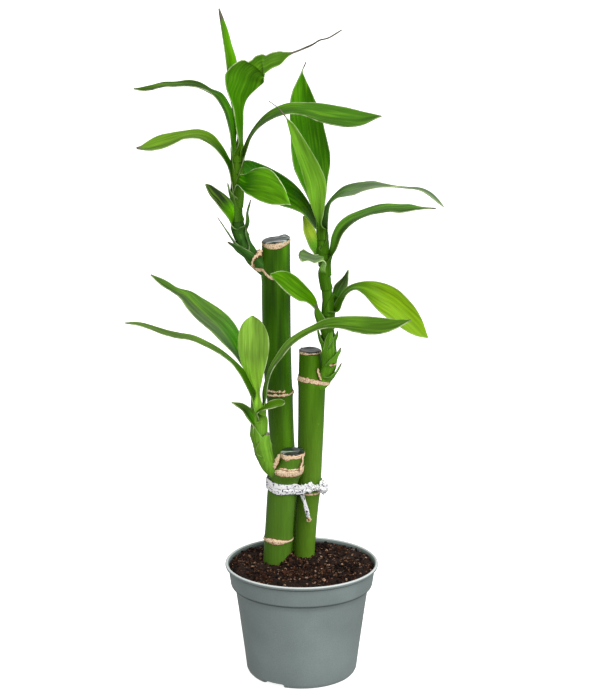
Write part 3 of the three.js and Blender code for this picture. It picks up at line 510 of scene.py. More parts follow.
def strewn(count, reach):
    """Random places on the soil, clear of the canes."""
    spots = []
    while len(spots) < count:
        x, y = random.uniform(-reach, reach, 2)
        clear = all(math.hypot(x - foot[0], y - foot[1]) > foot[3] - 0.2 for foot in CANE_FEET)
        if clear and math.hypot(x, y) < reach:
            spots.append((x, y))
    return np.array(spots)


def turned():
    """A random turn, as a 3 by 3 table."""
    table, _ = np.linalg.qr(random.normal(size=(3, 3)))
    return table


def scattered(name, pieces, faces, tones):
    """One mesh from many copies that share a pattern of faces, each with a tone of its own."""
    size = len(pieces[0])
    every = [[i * size + corner for corner in face] for i in range(len(pieces)) for face in faces]
    piece = built(name, np.concatenate(pieces), faces=every)
    note(piece, "tone", np.repeat(tones, size, axis=0))
    return piece


palette = np.array([linear(code) for code, _ in SOIL_COLOURS])
shares = [share for _, share in SOIL_COLOURS]
print("Browns:", len(palette))

# %% Crumbs
CRUMBS = 9000
bpy.ops.mesh.primitive_ico_sphere_add(subdivisions=1, radius=1)
pattern = added("crumb_pattern")
corners = corners_of(pattern, 1)
crumb_faces = [list(p.vertices) for p in pattern.data.polygons]
bpy.data.objects.remove(pattern)

spots = strewn(CRUMBS, 41.9)
levels = soil_height(spots[:, 0], spots[:, 1])
crumbs = []
for (x, y), level in zip(spots, levels):
    radius = min(1.6, 0.4 * random.lognormal(0.25, 0.45))
    lumpy = corners * random.uniform(0.75, 1.2, (len(corners), 1))
    body = (lumpy * random.uniform(0.55, 1, 3)) @ turned() * radius
    crumbs.append(body + (x, y, level - BEDDED + random.uniform(0.2, 0.9) * radius))
tones = palette[random.choice(len(palette), CRUMBS, p=shares)]
soil_crumbs = scattered("soil_crumbs", crumbs, crumb_faces, tones)
print("Crumbs:", len(soil_crumbs.data.polygons), "faces")

# %% Fibres
FIBRES = 260
FIBRE_STEPS = 5  # a fibre is a thin three-sided rod of four lengths, bent a little as it lies
FIBRE_RADIUS = 0.11
fibre_faces = [
    [3 * step + side, 3 * step + (side + 1) % 3, 3 * step + 3 + (side + 1) % 3, 3 * step + 3 + side]
    for step in range(FIBRE_STEPS - 1) for side in range(3)
]
fibre_faces += [[2, 1, 0], [3 * FIBRE_STEPS - 3, 3 * FIBRE_STEPS - 2, 3 * FIBRE_STEPS - 1]]
fibres = []
spots = strewn(FIBRES, 40)
levels = soil_height(spots[:, 0], spots[:, 1])
for (x, y), level in zip(spots, levels):
    heading, bend, length = random.uniform(0, 360), random.uniform(-70, 70), random.uniform(1.5, 5)
    here = np.array([x, y, level + random.uniform(0, 0.5)])
    rod = []
    for step in range(FIBRE_STEPS):
        sides = bearing(heading + 90)
        for turn in np.radians([0, 120, 240]):
            rod.append(here + FIBRE_RADIUS * (sides * np.sin(turn) + (0, 0, np.cos(turn))))
        heading += bend / FIBRE_STEPS
        here = here + bearing(heading) * length / FIBRE_STEPS + (0, 0, random.uniform(-0.12, 0.2))
    fibres.append(np.array(rod))
tones = palette[random.choice([2, 3, 3, 4], FIBRES)]
soil_fibres = scattered("soil_fibres", fibres, fibre_faces, tones)
print("Fibres:", len(soil_fibres.data.polygons), "faces")

# %% [markdown]
# Damp peat is nearly black and quite dull, but each crumb catches a little light on its edges. The
# crumbs carry their own brown as an attribute, and a fine noise breaks it up, so that no two look alike.
# The soil's CAD solid shows between the crumbs, so it gets the same peat, in the brown of the ground.

# %% Material of the soil
peat, tree = new_material("potting soil, damp peat and bark")
place = add(tree, "TexCoord")["Object"]
own = add(tree, "Attribute", attribute_name="tone")["Color"]
crease_shade_and_peat_grain = add(tree, "TexNoise", {"Vector": place, "Scale": 1 / (1.1 * MM), "Detail": 4})["Fac"]
patchy = add(tree, "ValToRGB", [crease_shade_and_peat_grain], [(0.36, "#7d716a"), (0.6, "#ffffff")])["Color"]
brown = add(tree, "Mix", {FACTOR: 1, COLOUR_A: own, COLOUR_B: patchy}, **MULTIPLY)[MIXED]
bump = add(tree, "Bump", {"Height": crease_shade_and_peat_grain, "Strength": 0.6, "Distance": 0.3 * MM})["Normal"]
surface(tree, Base_Color=brown, Normal=bump, Roughness=0.85, Specular_IOR_Level=0.2)

soil_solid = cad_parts["soil"]
for ground in (soil_top, soil_solid):
    note(ground, "tone", np.tile(linear("#2e1c14"), (len(ground.data.vertices), 1)))
for piece in (soil_top, soil_crumbs, soil_fibres):
    wear(piece, peat)
soil_solid.data.materials.clear()
soil_solid.data.materials.append(peat)
print("Material:", peat.name)

# %% [markdown]
# ## Canes
#
# A cane is a rod that tapers a little and swells at its leaf scars. It is grown the way that it grew:
# a ring of edges is extruded upwards step by step, and each new ring is resized to the cane's own
# radius there. One level of subdivision rounds it, and a slow noise takes away the machined look.

# %% Grow a rod
CANE_SIDES = 40


def grow(name, rows, sides):
    """Extrudes a disc up through rows of x, y, z and radius."""
    rows = np.array(rows, float)
    places, radii = (rows[:, :3] * MM).tolist(), rows[:, 3].tolist()
    bpy.ops.mesh.primitive_circle_add(vertices=sides, radius=radii[0] * MM, fill_type="NGON",
                                      location=places[0])
    piece = added(name)
    bpy.ops.object.transform_apply(location=True, rotation=True, scale=True)
    edit(piece)
    for i in range(1, len(rows)):
        step = ((rows[i] - rows[i - 1])[:3] * MM).tolist()
        bpy.ops.mesh.extrude_region_move(TRANSFORM_OT_translate={"value": step})
        factor = radii[i] / radii[i - 1]
        bpy.ops.transform.resize(value=(factor, factor, 1), center_override=places[i])
    leave()
    face_out(piece)
    return piece


print("A cane has", CANE_SIDES, "sides")

# %% Shape the three canes
CANE_FOOT = 34
ROW_STEP = 7  # between two rows where a cane is plain
ring_rows = (-5, -3, -1.5, 0, 1.5, 3, 5)  # rows round a scar
cane_pieces = {}
for name, cane in CANES.items():
    top = cane["axis"][-1][2]
    heights = set(np.arange(CANE_FOOT, top - 4, ROW_STEP).tolist() + [top - 0.8, top])
    for ring, _ in cane["rings"]:
        heights = {h for h in heights if abs(h - ring) > 5}
        heights |= {ring + step for step in ring_rows}
    rows = [cane_row(cane, h) for h in sorted(h for h in heights if h <= top)]
    piece = grow(f"cane_{name}_skin", rows, CANE_SIDES)
    modify(piece, "SUBSURF", levels=1, render_levels=1)
    points = corners_of(piece)
    x, y, _, radius = cane_row(cane, points[:, 2])
    out = points - np.stack([x, y, points[:, 2]], axis=-1)
    out /= np.maximum(np.linalg.norm(out, axis=1), 0.01)[:, None]
    wander = 0.16 * rough(points * (1, 1, 0.3), 8, 3) + 0.02 * rough(points * (1, 1, 0.1), 1.6, 4)
    at_side = np.hypot(points[:, 0] - x, points[:, 1] - y) > 0.6 * radius
    points += out * (wander * at_side)[:, None]
    # the top is cut on a slope, and the rows under it follow
    tilt = smooth(top - 9, top, points[:, 2])
    points[:, 2] += tilt * (cane["top"][0] * (points[:, 0] - x) + cane["top"][1] * (points[:, 1] - y))
    move_corners(piece, points)
    cane_pieces[name] = piece
    print(piece.name, sizes(piece))

# %% [markdown]
# The skin of a cane is a waxy cuticle over green tissue: smooth, with faint lengthwise lines, darker and
# lighter patches drawn out along the cane, and a few pale specks. All of this follows the cane's length,
# so each noise is squeezed along Z. A cane is also a little yellower near the soil, where it is oldest, and
# its right side, which faces the soft box, is coloured lighter as painted light. The lines are drawn about
# 0.5 mm apart, wider than the real ones.


# %% Material of the canes
def cane_skin(name, dark, fair, bright, low, painted_light_gain):
    """A cane's skin in three greens, the colour of its foot, and the painted light on its right side."""
    skin, tree = new_material(name)
    place = add(tree, "TexCoord")["Object"]
    drawn = add(tree, "Mapping", {"Vector": place, "Scale": (110, 110, 14)})["Vector"]
    patches = add(tree, "TexNoise", {"Vector": drawn, "Scale": 1, "Detail": 2, "Distortion": 0.3})["Fac"]
    green = add(tree, "ValToRGB", [patches], [(0.34, dark), (0.5, fair), (0.68, bright)])["Color"]
    height = add(tree, "SeparateXYZ", [place])["Z"]
    near_soil = add(tree, "MapRange", [height, 178 * MM, 120 * MM, 0, 0.85])["Result"]
    aged = add(tree, "Mix", {FACTOR: near_soil, COLOUR_A: green, COLOUR_B: linear(low)}, **BLEND)[MIXED]
    fine = add(tree, "Mapping", {"Vector": place, "Scale": (2000, 2000, 30)})["Vector"]
    lines = add(tree, "TexNoise", {"Vector": fine, "Scale": 1, "Detail": 2})["Fac"]
    shade = add(tree, "MapRange", [lines, 0.3, 0.7, 0.88, 1.12])["Result"]
    # painted light: the side of each cane that faces +X, towards the soft box, is coloured lighter
    facing = add(tree, "SeparateXYZ", [add(tree, "NewGeometry")["Normal"]])["X"]
    painted_side_light = add(tree, "MapRange", [facing, 0.05, 0.7, 1, painted_light_gain])["Result"]
    both = add(tree, "Math", [shade, painted_side_light], operation="MULTIPLY")["Value"]
    lined = add(tree, "VectorMath", {0: aged, "Scale": both}, operation="SCALE")["Vector"]
    cells = add(tree, "TexVoronoi", {"Vector": place, "Scale": 1 / (3.2 * MM), "Randomness": 1})["Distance"]
    speck = add(tree, "MapRange", [cells, 0.1, 0.04])["Result"]
    some = add(tree, "TexNoise", {"Vector": place, "Scale": 1 / (7 * MM)})["Fac"]
    chosen = add(tree, "MapRange", [some, 0.57, 0.62, 0, 0.4])["Result"]
    specks = add(tree, "Math", [speck, chosen], operation="MULTIPLY")["Value"]
    whole = add(tree, "Mix", {FACTOR: specks, COLOUR_A: lined, COLOUR_B: linear("#a9c07a")}, **BLEND)[MIXED]
    bump = add(tree, "Bump", {"Height": lines, "Strength": 0.2, "Distance": 0.06 * MM})["Normal"]
    surface(tree, Base_Color=whole, Normal=bump, Roughness=0.38, IOR=1.45, Specular_IOR_Level=0.1)
    return skin


SKINS = {
    "tall": cane_skin("cane skin, old dark green", "#223f08", "#2f5509", "#477710", "#58851c", 2.0),
    "middle": cane_skin("cane skin, bright green", "#3a660a", "#4a780b", "#5d901a", "#587c22", 1.25),
    "short": cane_skin("cane skin, mid green", "#3d6512", "#4c701c", "#5c8c22", "#507622", 1.15),
}
for name, piece in cane_pieces.items():
    wear(piece, SKINS[name], f"cane_{name}")
print("Skins:", len(SKINS))

# %% [markdown]
# ## Smooth lines for stems and leaves
#
# A stem or a leaf passes through a few known stations. A Catmull-Rom line joins them without kinks, and
# reading it by its length keeps the grid's rows evenly apart. The first three numbers of a station are its
# place, and any more, such as the blade's width there, are carried along just as smoothly. These are the
# same lines that the CAD model uses, so each blade lies where its solid does.


# %% A smooth line
SPAN = 40  # samples between two stations


def unit(vectors):
    return vectors / np.linalg.norm(vectors, axis=-1, keepdims=True)


class Line:
    def __init__(self, stations):
        stations = np.array(stations, float)
        ends = [2 * stations[0] - stations[1], *stations, 2 * stations[-1] - stations[-2]]
        dense = []
        for a, b, c, d in zip(ends, ends[1:], ends[2:], ends[3:]):
            first, second, third = (np.linalg.norm((q - p)[:3]) ** 0.5 for p, q in ((a, b), (b, c), (c, d)))
            start = ((b - a) / first - (c - a) / (first + second) + (c - b) / second) * second
            end = ((c - b) / second - (d - b) / (second + third) + (d - c) / third) * second
            t = np.linspace(0, 1, SPAN, endpoint=False)[:, None]
            cubic = 2 * b - 2 * c + start + end
            square = -3 * b + 3 * c - 2 * start - end
            dense.append(b + start * t + square * t**2 + cubic * t**3)
        self.points = np.concatenate([*dense, stations[-1:]])
        steps = np.linalg.norm(np.diff(self.points[:, :3], axis=0), axis=1)
        self.run = np.concatenate([[0], np.cumsum(steps)])
        self.length = self.run[-1]

    def at(self, share):
        """The numbers of the line at each share of its length."""
        reach = np.atleast_1d(share) * self.length
        return np.stack([np.interp(reach, self.run, column) for column in self.points.T], axis=-1)

    def ahead(self, share):
        """The direction at each share of the length."""
        share = np.atleast_1d(share)
        return unit((self.at(np.minimum(share + 0.004, 1)) - self.at(np.maximum(share - 0.004, 0)))[:, :3])

    def by_row(self, v):
        """For a grid's corners at v: the share of each row, the row of each corner, and the line's
        numbers and direction at each row."""
        share = np.unique(v)
        return share, np.searchsorted(share, v), self.at(share), self.ahead(share)


print("A line of 3 points is", round(Line([(0, 0, 0), (10, 0, 0), (10, 10, 0)]).length, 1), "mm long")


# %% A stem's line
class Stem(Line):
    def __init__(self, rows):
        super().__init__([row[:3] for row in rows])
        self.rows = np.array(rows, float)

    def at_height(self, z):
        past = self.points[:, 2] >= z
        last = self.points[-1]
        return self.points[np.argmax(past)] if past.any() else last + (0, 0, z - last[2])

    def radius(self, z):
        return np.interp(z, self.rows[:, 2], self.rows[:, 3])


def carried(start, directions):
    """Carries a crosswise direction along a line without letting it spin."""
    sides, side = [], np.array(start, float)
    for way in directions:
        side = unit(side - side.dot(way) * way)
        sides.append(side)
    return np.array(sides)


print("Carried up a straight line:", carried((1, 0, 0), np.array([[0, 0, 1], [0, 0, 1]])).tolist())

# %% [markdown]
# ## Leaf scars and peeled rims
#
# Where a leaf once clasped the cane, a ring of dry tan fibre is left, ragged at both edges, with brown
# threads in it. The cut tops show the same fibre under their wax, and a scrap of it clings round each
# shoot's foot. Each is a sheet wrapped round the cane between two heights. Both heights may change with
# the bearing, because the real rings sag, climb round a shoot's foot and break off. Where a shoot swells
# out of the cane, the sheet is wrapped over the swelling. The scraps that stand off are torn strips, drawn
# along lines of their own.


# %% Measure round a cane
def hump(angle, at, width):
    """1 at one bearing, falling off to nothing over a width in degrees each way."""
    return bell((angle - at + 180) % 360 - 180, 0, width)


def swollen(x, y, radius, angle, z, foot):
    """How far it is from the cane's middle out to its surface, or to the shoot's foot if that is further."""
    out = bearing(angle)
    reach = np.array(radius, float)
    for ball in foot:
        to_ball = np.stack([ball[0] - x, ball[1] - y, ball[2] - z], axis=-1)
        along = (to_ball * out).sum(axis=-1)
        left = ball[3] ** 2 - (to_ball**2).sum(axis=-1) + along**2
        reach = np.maximum(reach, np.where(left > 0, along + np.sqrt(np.maximum(left, 0)), 0))
    return reach


def foot_of(axis):
    """Balls along the first stretch of a shoot's axis, as x, y, z and radius."""
    share = np.linspace(0, 2, 17)
    return np.stack([np.interp(share, [0, 1, 2], column) for column in np.array(axis, float).T], axis=-1)


print("Half a hump at 10 degrees:", round(float(hump(10, 0, 12)), 2))


# %% A ring of dry fibre
def scar(name, cane, low, high, ragged=0.4, proud=0.45, arc=(90, 450), foot=(), columns=150):
    """A dry ring from height low(angle) to high(angle), ragged by so many millimetres. With an arc it is
    only a scrap between two bearings."""
    whole = arc[1] - arc[0] == 360
    at_top = low(-90) > cane["axis"][-1][2] - 6
    slope = cane["top"] if at_top else (0, 0)

    def rule(u, v):
        angle = arc[0] + (arc[1] - arc[0]) * u
        out = bearing(angle)
        ring = 9 * out
        torn = ragged * (rough(ring, 1.6, len(name)) + 0.7 * rough(ring, 0.6, 5))
        torn_low = ragged * (rough(ring, 1.9, 9) + 0.7 * rough(ring, 0.5, 8))
        bottom, top = low(angle) + torn_low, high(angle) + torn
        z = bottom + (np.maximum(top, bottom + 0.25) - bottom) * v
        x, y, _, radius = cane_row(cane, z)
        lumps = 0.22 * rough(np.column_stack([ring[:, :2], z]), 1.1, 6)
        edge = np.sin(np.pi * np.clip(v, 0.02, 0.98)) ** 0.45
        if not whole:
            edge = edge * smooth(0, 0.05, u) * smooth(1, 0.95, u)
        away = swollen(x, y, radius, angle, z, foot) - 0.12 + (proud + lumps) * edge
        across = out * away[:, None]
        points = np.column_stack([x, y, z + across[:, :2] @ slope]) + across
        grain = np.stack([radius * np.radians(angle), z - bottom, 0 * u + 3 * len(name)], axis=-1)
        return points, {"grain": grain, "up": v}

    return wrapped(name, columns, 10, rule, closed=whole)


print("Ready to wrap", sum(len(cane["rings"]) for cane in CANES.values()), "rings and three rims")


# %% A torn strip
def scrap(name, stations, seed, centre, columns=70, ragged=1.2):
    """A torn strip of the same fibre along a line. A station is x, y, z and half the strip's width."""
    route = Line(stations)

    def rule(u, v):
        _, row, place, ahead = route.by_row(v)
        out = place[:, :3] - (*centre, 0)
        out[:, 2] = 0
        wide = unit(np.cross(ahead, out))
        thin = np.cross(wide, ahead)
        angle = 2 * np.pi * u
        across = wide[row] * np.cos(angle)[:, None]
        spots = place[row, :3] + across * 2
        tears = 0.5 * rough(spots, 1.3, seed) + 0.35 * rough(spots, 0.5, seed + 1)
        torn = np.maximum(1 + ragged * tears, 0.2)
        ends = np.maximum(1 - (2 * v - 1) ** 12, 0)
        half, thick = place[row, 3] * torn * ends, (0.35 + 0.2 * torn) * ends
        points = place[row, :3] + across * half[:, None] + thin[row] * (thick * np.sin(angle))[:, None]
        grain = np.stack([2 * np.cos(angle), v * route.length, 0 * u + 7 * seed], axis=-1)
        return points, {"grain": grain, "up": (1 + np.cos(angle)) / 2}

    piece = wrapped(name, 18, columns, rule, closed=True)
    face_out(piece)
    return piece


print("Ready to tear strips")

# %% Wrap the scars
TALL, MIDDLE, SHORT = CANES["tall"], CANES["middle"], CANES["short"]
# the first rows of each shoot's axis, which the shoots' tables below give in full
TALL_FOOT = foot_of([(-19, 20, 238, 4.6), (-26, 19, 244, 4.5), (-31, 17, 251, 4.2)])
MIDDLE_FOOT = foot_of([(8, 8.5, 171, 3.5), (12.5, 6.5, 176, 4), (15, 5.2, 182.5, 4)])
SHORT_FOOT = foot_of([(-13, 1, 121.5, 4.2), (-17.5, -0.5, 125.5, 4.6), (-20.3, -1.4, 130, 4.6)])
SCARS = [
    scar("scar_tall_lower", TALL, lambda a: 164.6 + 0.3 * hump(a, -60, 50) + 0.8 * hump(a, -20, 30),
         lambda a: 166.5 + 0.9 * hump(a, -15, 40), ragged=0.75),
    scar("scar_tall_lower_thread", TALL, lambda a: 167.3 + 0.3 * hump(a, -20, 40), lambda a: 168.5,
         ragged=0.9, proud=0.35, arc=(190, 300), columns=90),
    scar("scar_tall_upper", TALL, lambda a: 234 + 4.4 * hump(a, 200, 40),
         lambda a: 235.9 + 5.2 * hump(a, 200, 40), foot=TALL_FOOT, ragged=0.35),
    scrap("scar_tall_flap", [(-22.7, 11, 252.4, 1), (-24.2, 10, 250.8, 1.5), (-26.8, 9.6, 248.2, 0.8),
                             (-28.2, 10, 245, 0.9), (-27.9, 11, 241.6, 1.6)], 5, (-20, 20), ragged=2.4),
    scar("scar_middle_lower", MIDDLE, lambda a: 106.4, lambda a: 108),
    scar("scar_middle_upper", MIDDLE, lambda a: 175.5 - 2.5 * hump(a, -10, 62),
         lambda a: 179.1 - 3.1 * hump(a, -10, 66), foot=MIDDLE_FOOT, ragged=0.6),
    scrap("scar_middle_flap", [(9.2, 3.1, 184.6, 0.5), (9.5, 3.1, 182, 1), (10.4, 3.1, 179.6, 0.8),
                               (11.4, 2.8, 177, 0.7)], 8, (5.8, 10.5), 50),
    scrap("scar_middle_scale", [(15.6, -0.6, 187.2, 0.5), (17.6, -0.9, 187.2, 0.7), (20, -0.4, 188.3, 0.4)],
          21, (15, 5), 40),
    scar("scar_short_lower", SHORT, lambda a: 80 - 1.3 * hump(a, -95, 32),
         lambda a: 81.3 + 1.9 * hump(a, -115, 50)),
    scar("scar_short_upper", SHORT, lambda a: 121.8 + 0.6 * hump(a, 225, 20),
         lambda a: 126.5 + 0.6 * hump(a, -120, 14) + 0.5 * hump(a, -20, 20), foot=SHORT_FOOT, ragged=0.5,
         arc=(217, 540)),
    scar("scar_short_lip", SHORT, lambda a: 126.2 + 0.4 * hump(a, -120, 14),
         lambda a: 127.2 + 0.5 * hump(a, -120, 14), ragged=0.5, proud=0.55, arc=(225, 372), columns=110),
    scrap("scar_short_flap", [(-12.8, -5.2, 135.4, 0.9), (-13.6, -5.5, 132.8, 1.6), (-14.8, -5.8, 130, 1.8),
                              (-16, -5.8, 126.6, 1.4)], 11, (-8, 0), 50),
    scrap("scar_short_strip", [(0.3, -5.6, 134.5, 0.8), (0.4, -6.4, 131.5, 0.8), (-0.4, -7.2, 128.6, 1),
                               (-1, -7.8, 125.5, 1)], 14, (-7, 0), 50),
    scar("rim_tall", TALL, lambda a: 254.9 - 2.3 * hump(a, -92, 55), lambda a: 256.7, ragged=0.25, proud=0.3),
    scar("rim_middle", MIDDLE, lambda a: 191.8 + 0.5 * hump(a, -70, 30),
         lambda a: 193.5 + 0.5 * hump(a, 180, 50), ragged=0.5, proud=0.35),
    scar("rim_short", SHORT, lambda a: 133.2 - 1.6 * hump(a, -117, 16) - 0.8 * hump(a, 185, 40),
         lambda a: 136, ragged=0.35, proud=0.35),
]
print("Scars:", [piece.name for piece in SCARS])

# %% [markdown]
# Dry sheath is like torn kraft paper: cream with a hint of pink, dull, with brown fibres along it and
# darker brown where its edge has split. The fibres run up the cane, about 0.4 mm apart.

# %% Material of the scars
husk, tree = new_material("dried leaf sheath, tan and fibrous")
grain = add(tree, "Attribute", attribute_name="grain")["Vector"]
along = add(tree, "Mapping", {"Vector": grain, "Scale": (2.4, 0.9, 1)})["Vector"]
threads = add(tree, "TexNoise", {"Vector": along, "Scale": 1, "Detail": 3, "Roughness": 0.65})["Fac"]
tan = add(tree, "ValToRGB", [threads],
          [(0.32, "#6e3f20"), (0.41, "#d3a074"), (0.49, "#f8dcb6"), (0.72, "#fff1da")])["Color"]
stains = add(tree, "TexNoise", {"Vector": grain, "Scale": 0.5, "Detail": 3})["Fac"]
stained = add(tree, "ValToRGB", [stains], [(0.34, "#9c6e50"), (0.44, "#ffffff")])["Color"]
dry = add(tree, "Mix", {FACTOR: 0.7, COLOUR_A: tan, COLOUR_B: stained}, **MULTIPLY)[MIXED]
up = add(tree, "Attribute", attribute_name="up")["Fac"]
split = add(tree, "ValToRGB", [up], [(0.03, "#4e331b"), (0.1, "#d9c7ae"), (0.2, "#ffffff"),
                                     (0.84, "#ffffff"), (0.95, "#6b4a30")])["Color"]
edged = add(tree, "Mix", {FACTOR: 1, COLOUR_A: dry, COLOUR_B: split}, **MULTIPLY)[MIXED]
bump = add(tree, "Bump", {"Height": threads, "Strength": 0.7, "Distance": 0.2 * MM})["Normal"]
surface(tree, Base_Color=edged, Normal=bump, Roughness=0.78, Specular_IOR_Level=0.15)
for piece in SCARS:
    wear(piece, husk)
print("Material:", husk.name)

# %% [markdown]
# ## Wax on the cut tops
#
# Growers seal a cut cane with dark wax, so that it doesn't dry out. The wax was dabbed on warm: it is
# glossy, a little dished where it sank, and it runs over the edge by less than a millimetre. Its dark
# grey green is streaked with painted highlights, pale grey to near white.

# %% Dab the wax on
WAX_OUTLINE = [(-0.1, -0.1), (0.05, 0.4), (0.1, 1), (-0.2, 1.45), (-0.8, 1.65), (-1.8, 1.66)]
WAX_HEIGHT = 1.66
WAX_SIDE = 0.6  # share of the grid's rows that follow the outline, while the others cross the top


def wax_rule(cane):
    x, y, z, radius = cane["axis"][-1]
    places = np.linspace(0, WAX_SIDE, len(WAX_OUTLINE))
    beyond, above = zip(*WAX_OUTLINE)

    def rule(u, v):
        at_side = v < WAX_SIDE
        across = (radius - 1.6) * (1 - v) / (1 - WAX_SIDE)
        out = np.where(at_side, radius + np.interp(v, places, beyond), across)
        dished = WAX_HEIGHT - 0.3 * smooth(WAX_SIDE, 0.85, v)
        rise = np.where(at_side, np.interp(v, places, above), dished)
        spread = bearing(360 * u + 90) * np.maximum(out, 0)[:, None]
        ridge = 9 * cane["top"][0] * bell(spread[:, 0], 4.5, 3) * bell(spread[:, 1], 4, 3.5)
        lumps = 0.3 * rough(spread + (0, 0, z), 4.5, 2) + ridge
        drip = 0.2 * rough(bearing(360 * u) * 6 + (0, 0, z), 3.5, 4) * (v < 0.35)
        points = spread + (x, y, z)
        points[:, 2] += rise + spread[:, :2] @ cane["top"] + lumps + drip
        return points, {}

    return rule


wax, tree = new_material("grafting wax, grey green")
place = add(tree, "TexCoord")["Object"]
smeared = add(tree, "Mapping", {"Vector": place, "Scale": (60, 210, 120)})["Vector"]
cloud = add(tree, "TexNoise", {"Vector": smeared, "Scale": 1, "Detail": 2})["Fac"]
# painted highlights: the two palest stops streak the dark wax with grey and near white
dark = add(tree, "ValToRGB", [cloud],
           [(0.42, "#1a2420"), (0.55, "#2f3d37"), (0.6, "#7b8883"), (0.66, "#dfe5e3")])["Color"]
bump = add(tree, "Bump", {"Height": cloud, "Strength": 0.25, "Distance": 0.3 * MM})["Normal"]
surface(tree, Base_Color=dark, Normal=bump, Roughness=0.3, IOR=1.44, Coat_Weight=0.4, Coat_Roughness=0.15)
for name, cane in CANES.items():
    cap = wrapped(f"wax_{name}_cap", 64, 20, wax_rule(cane), closed=True)
    wear(cap, wax, f"wax_{name}")
    print(cap.name, sizes(cap))
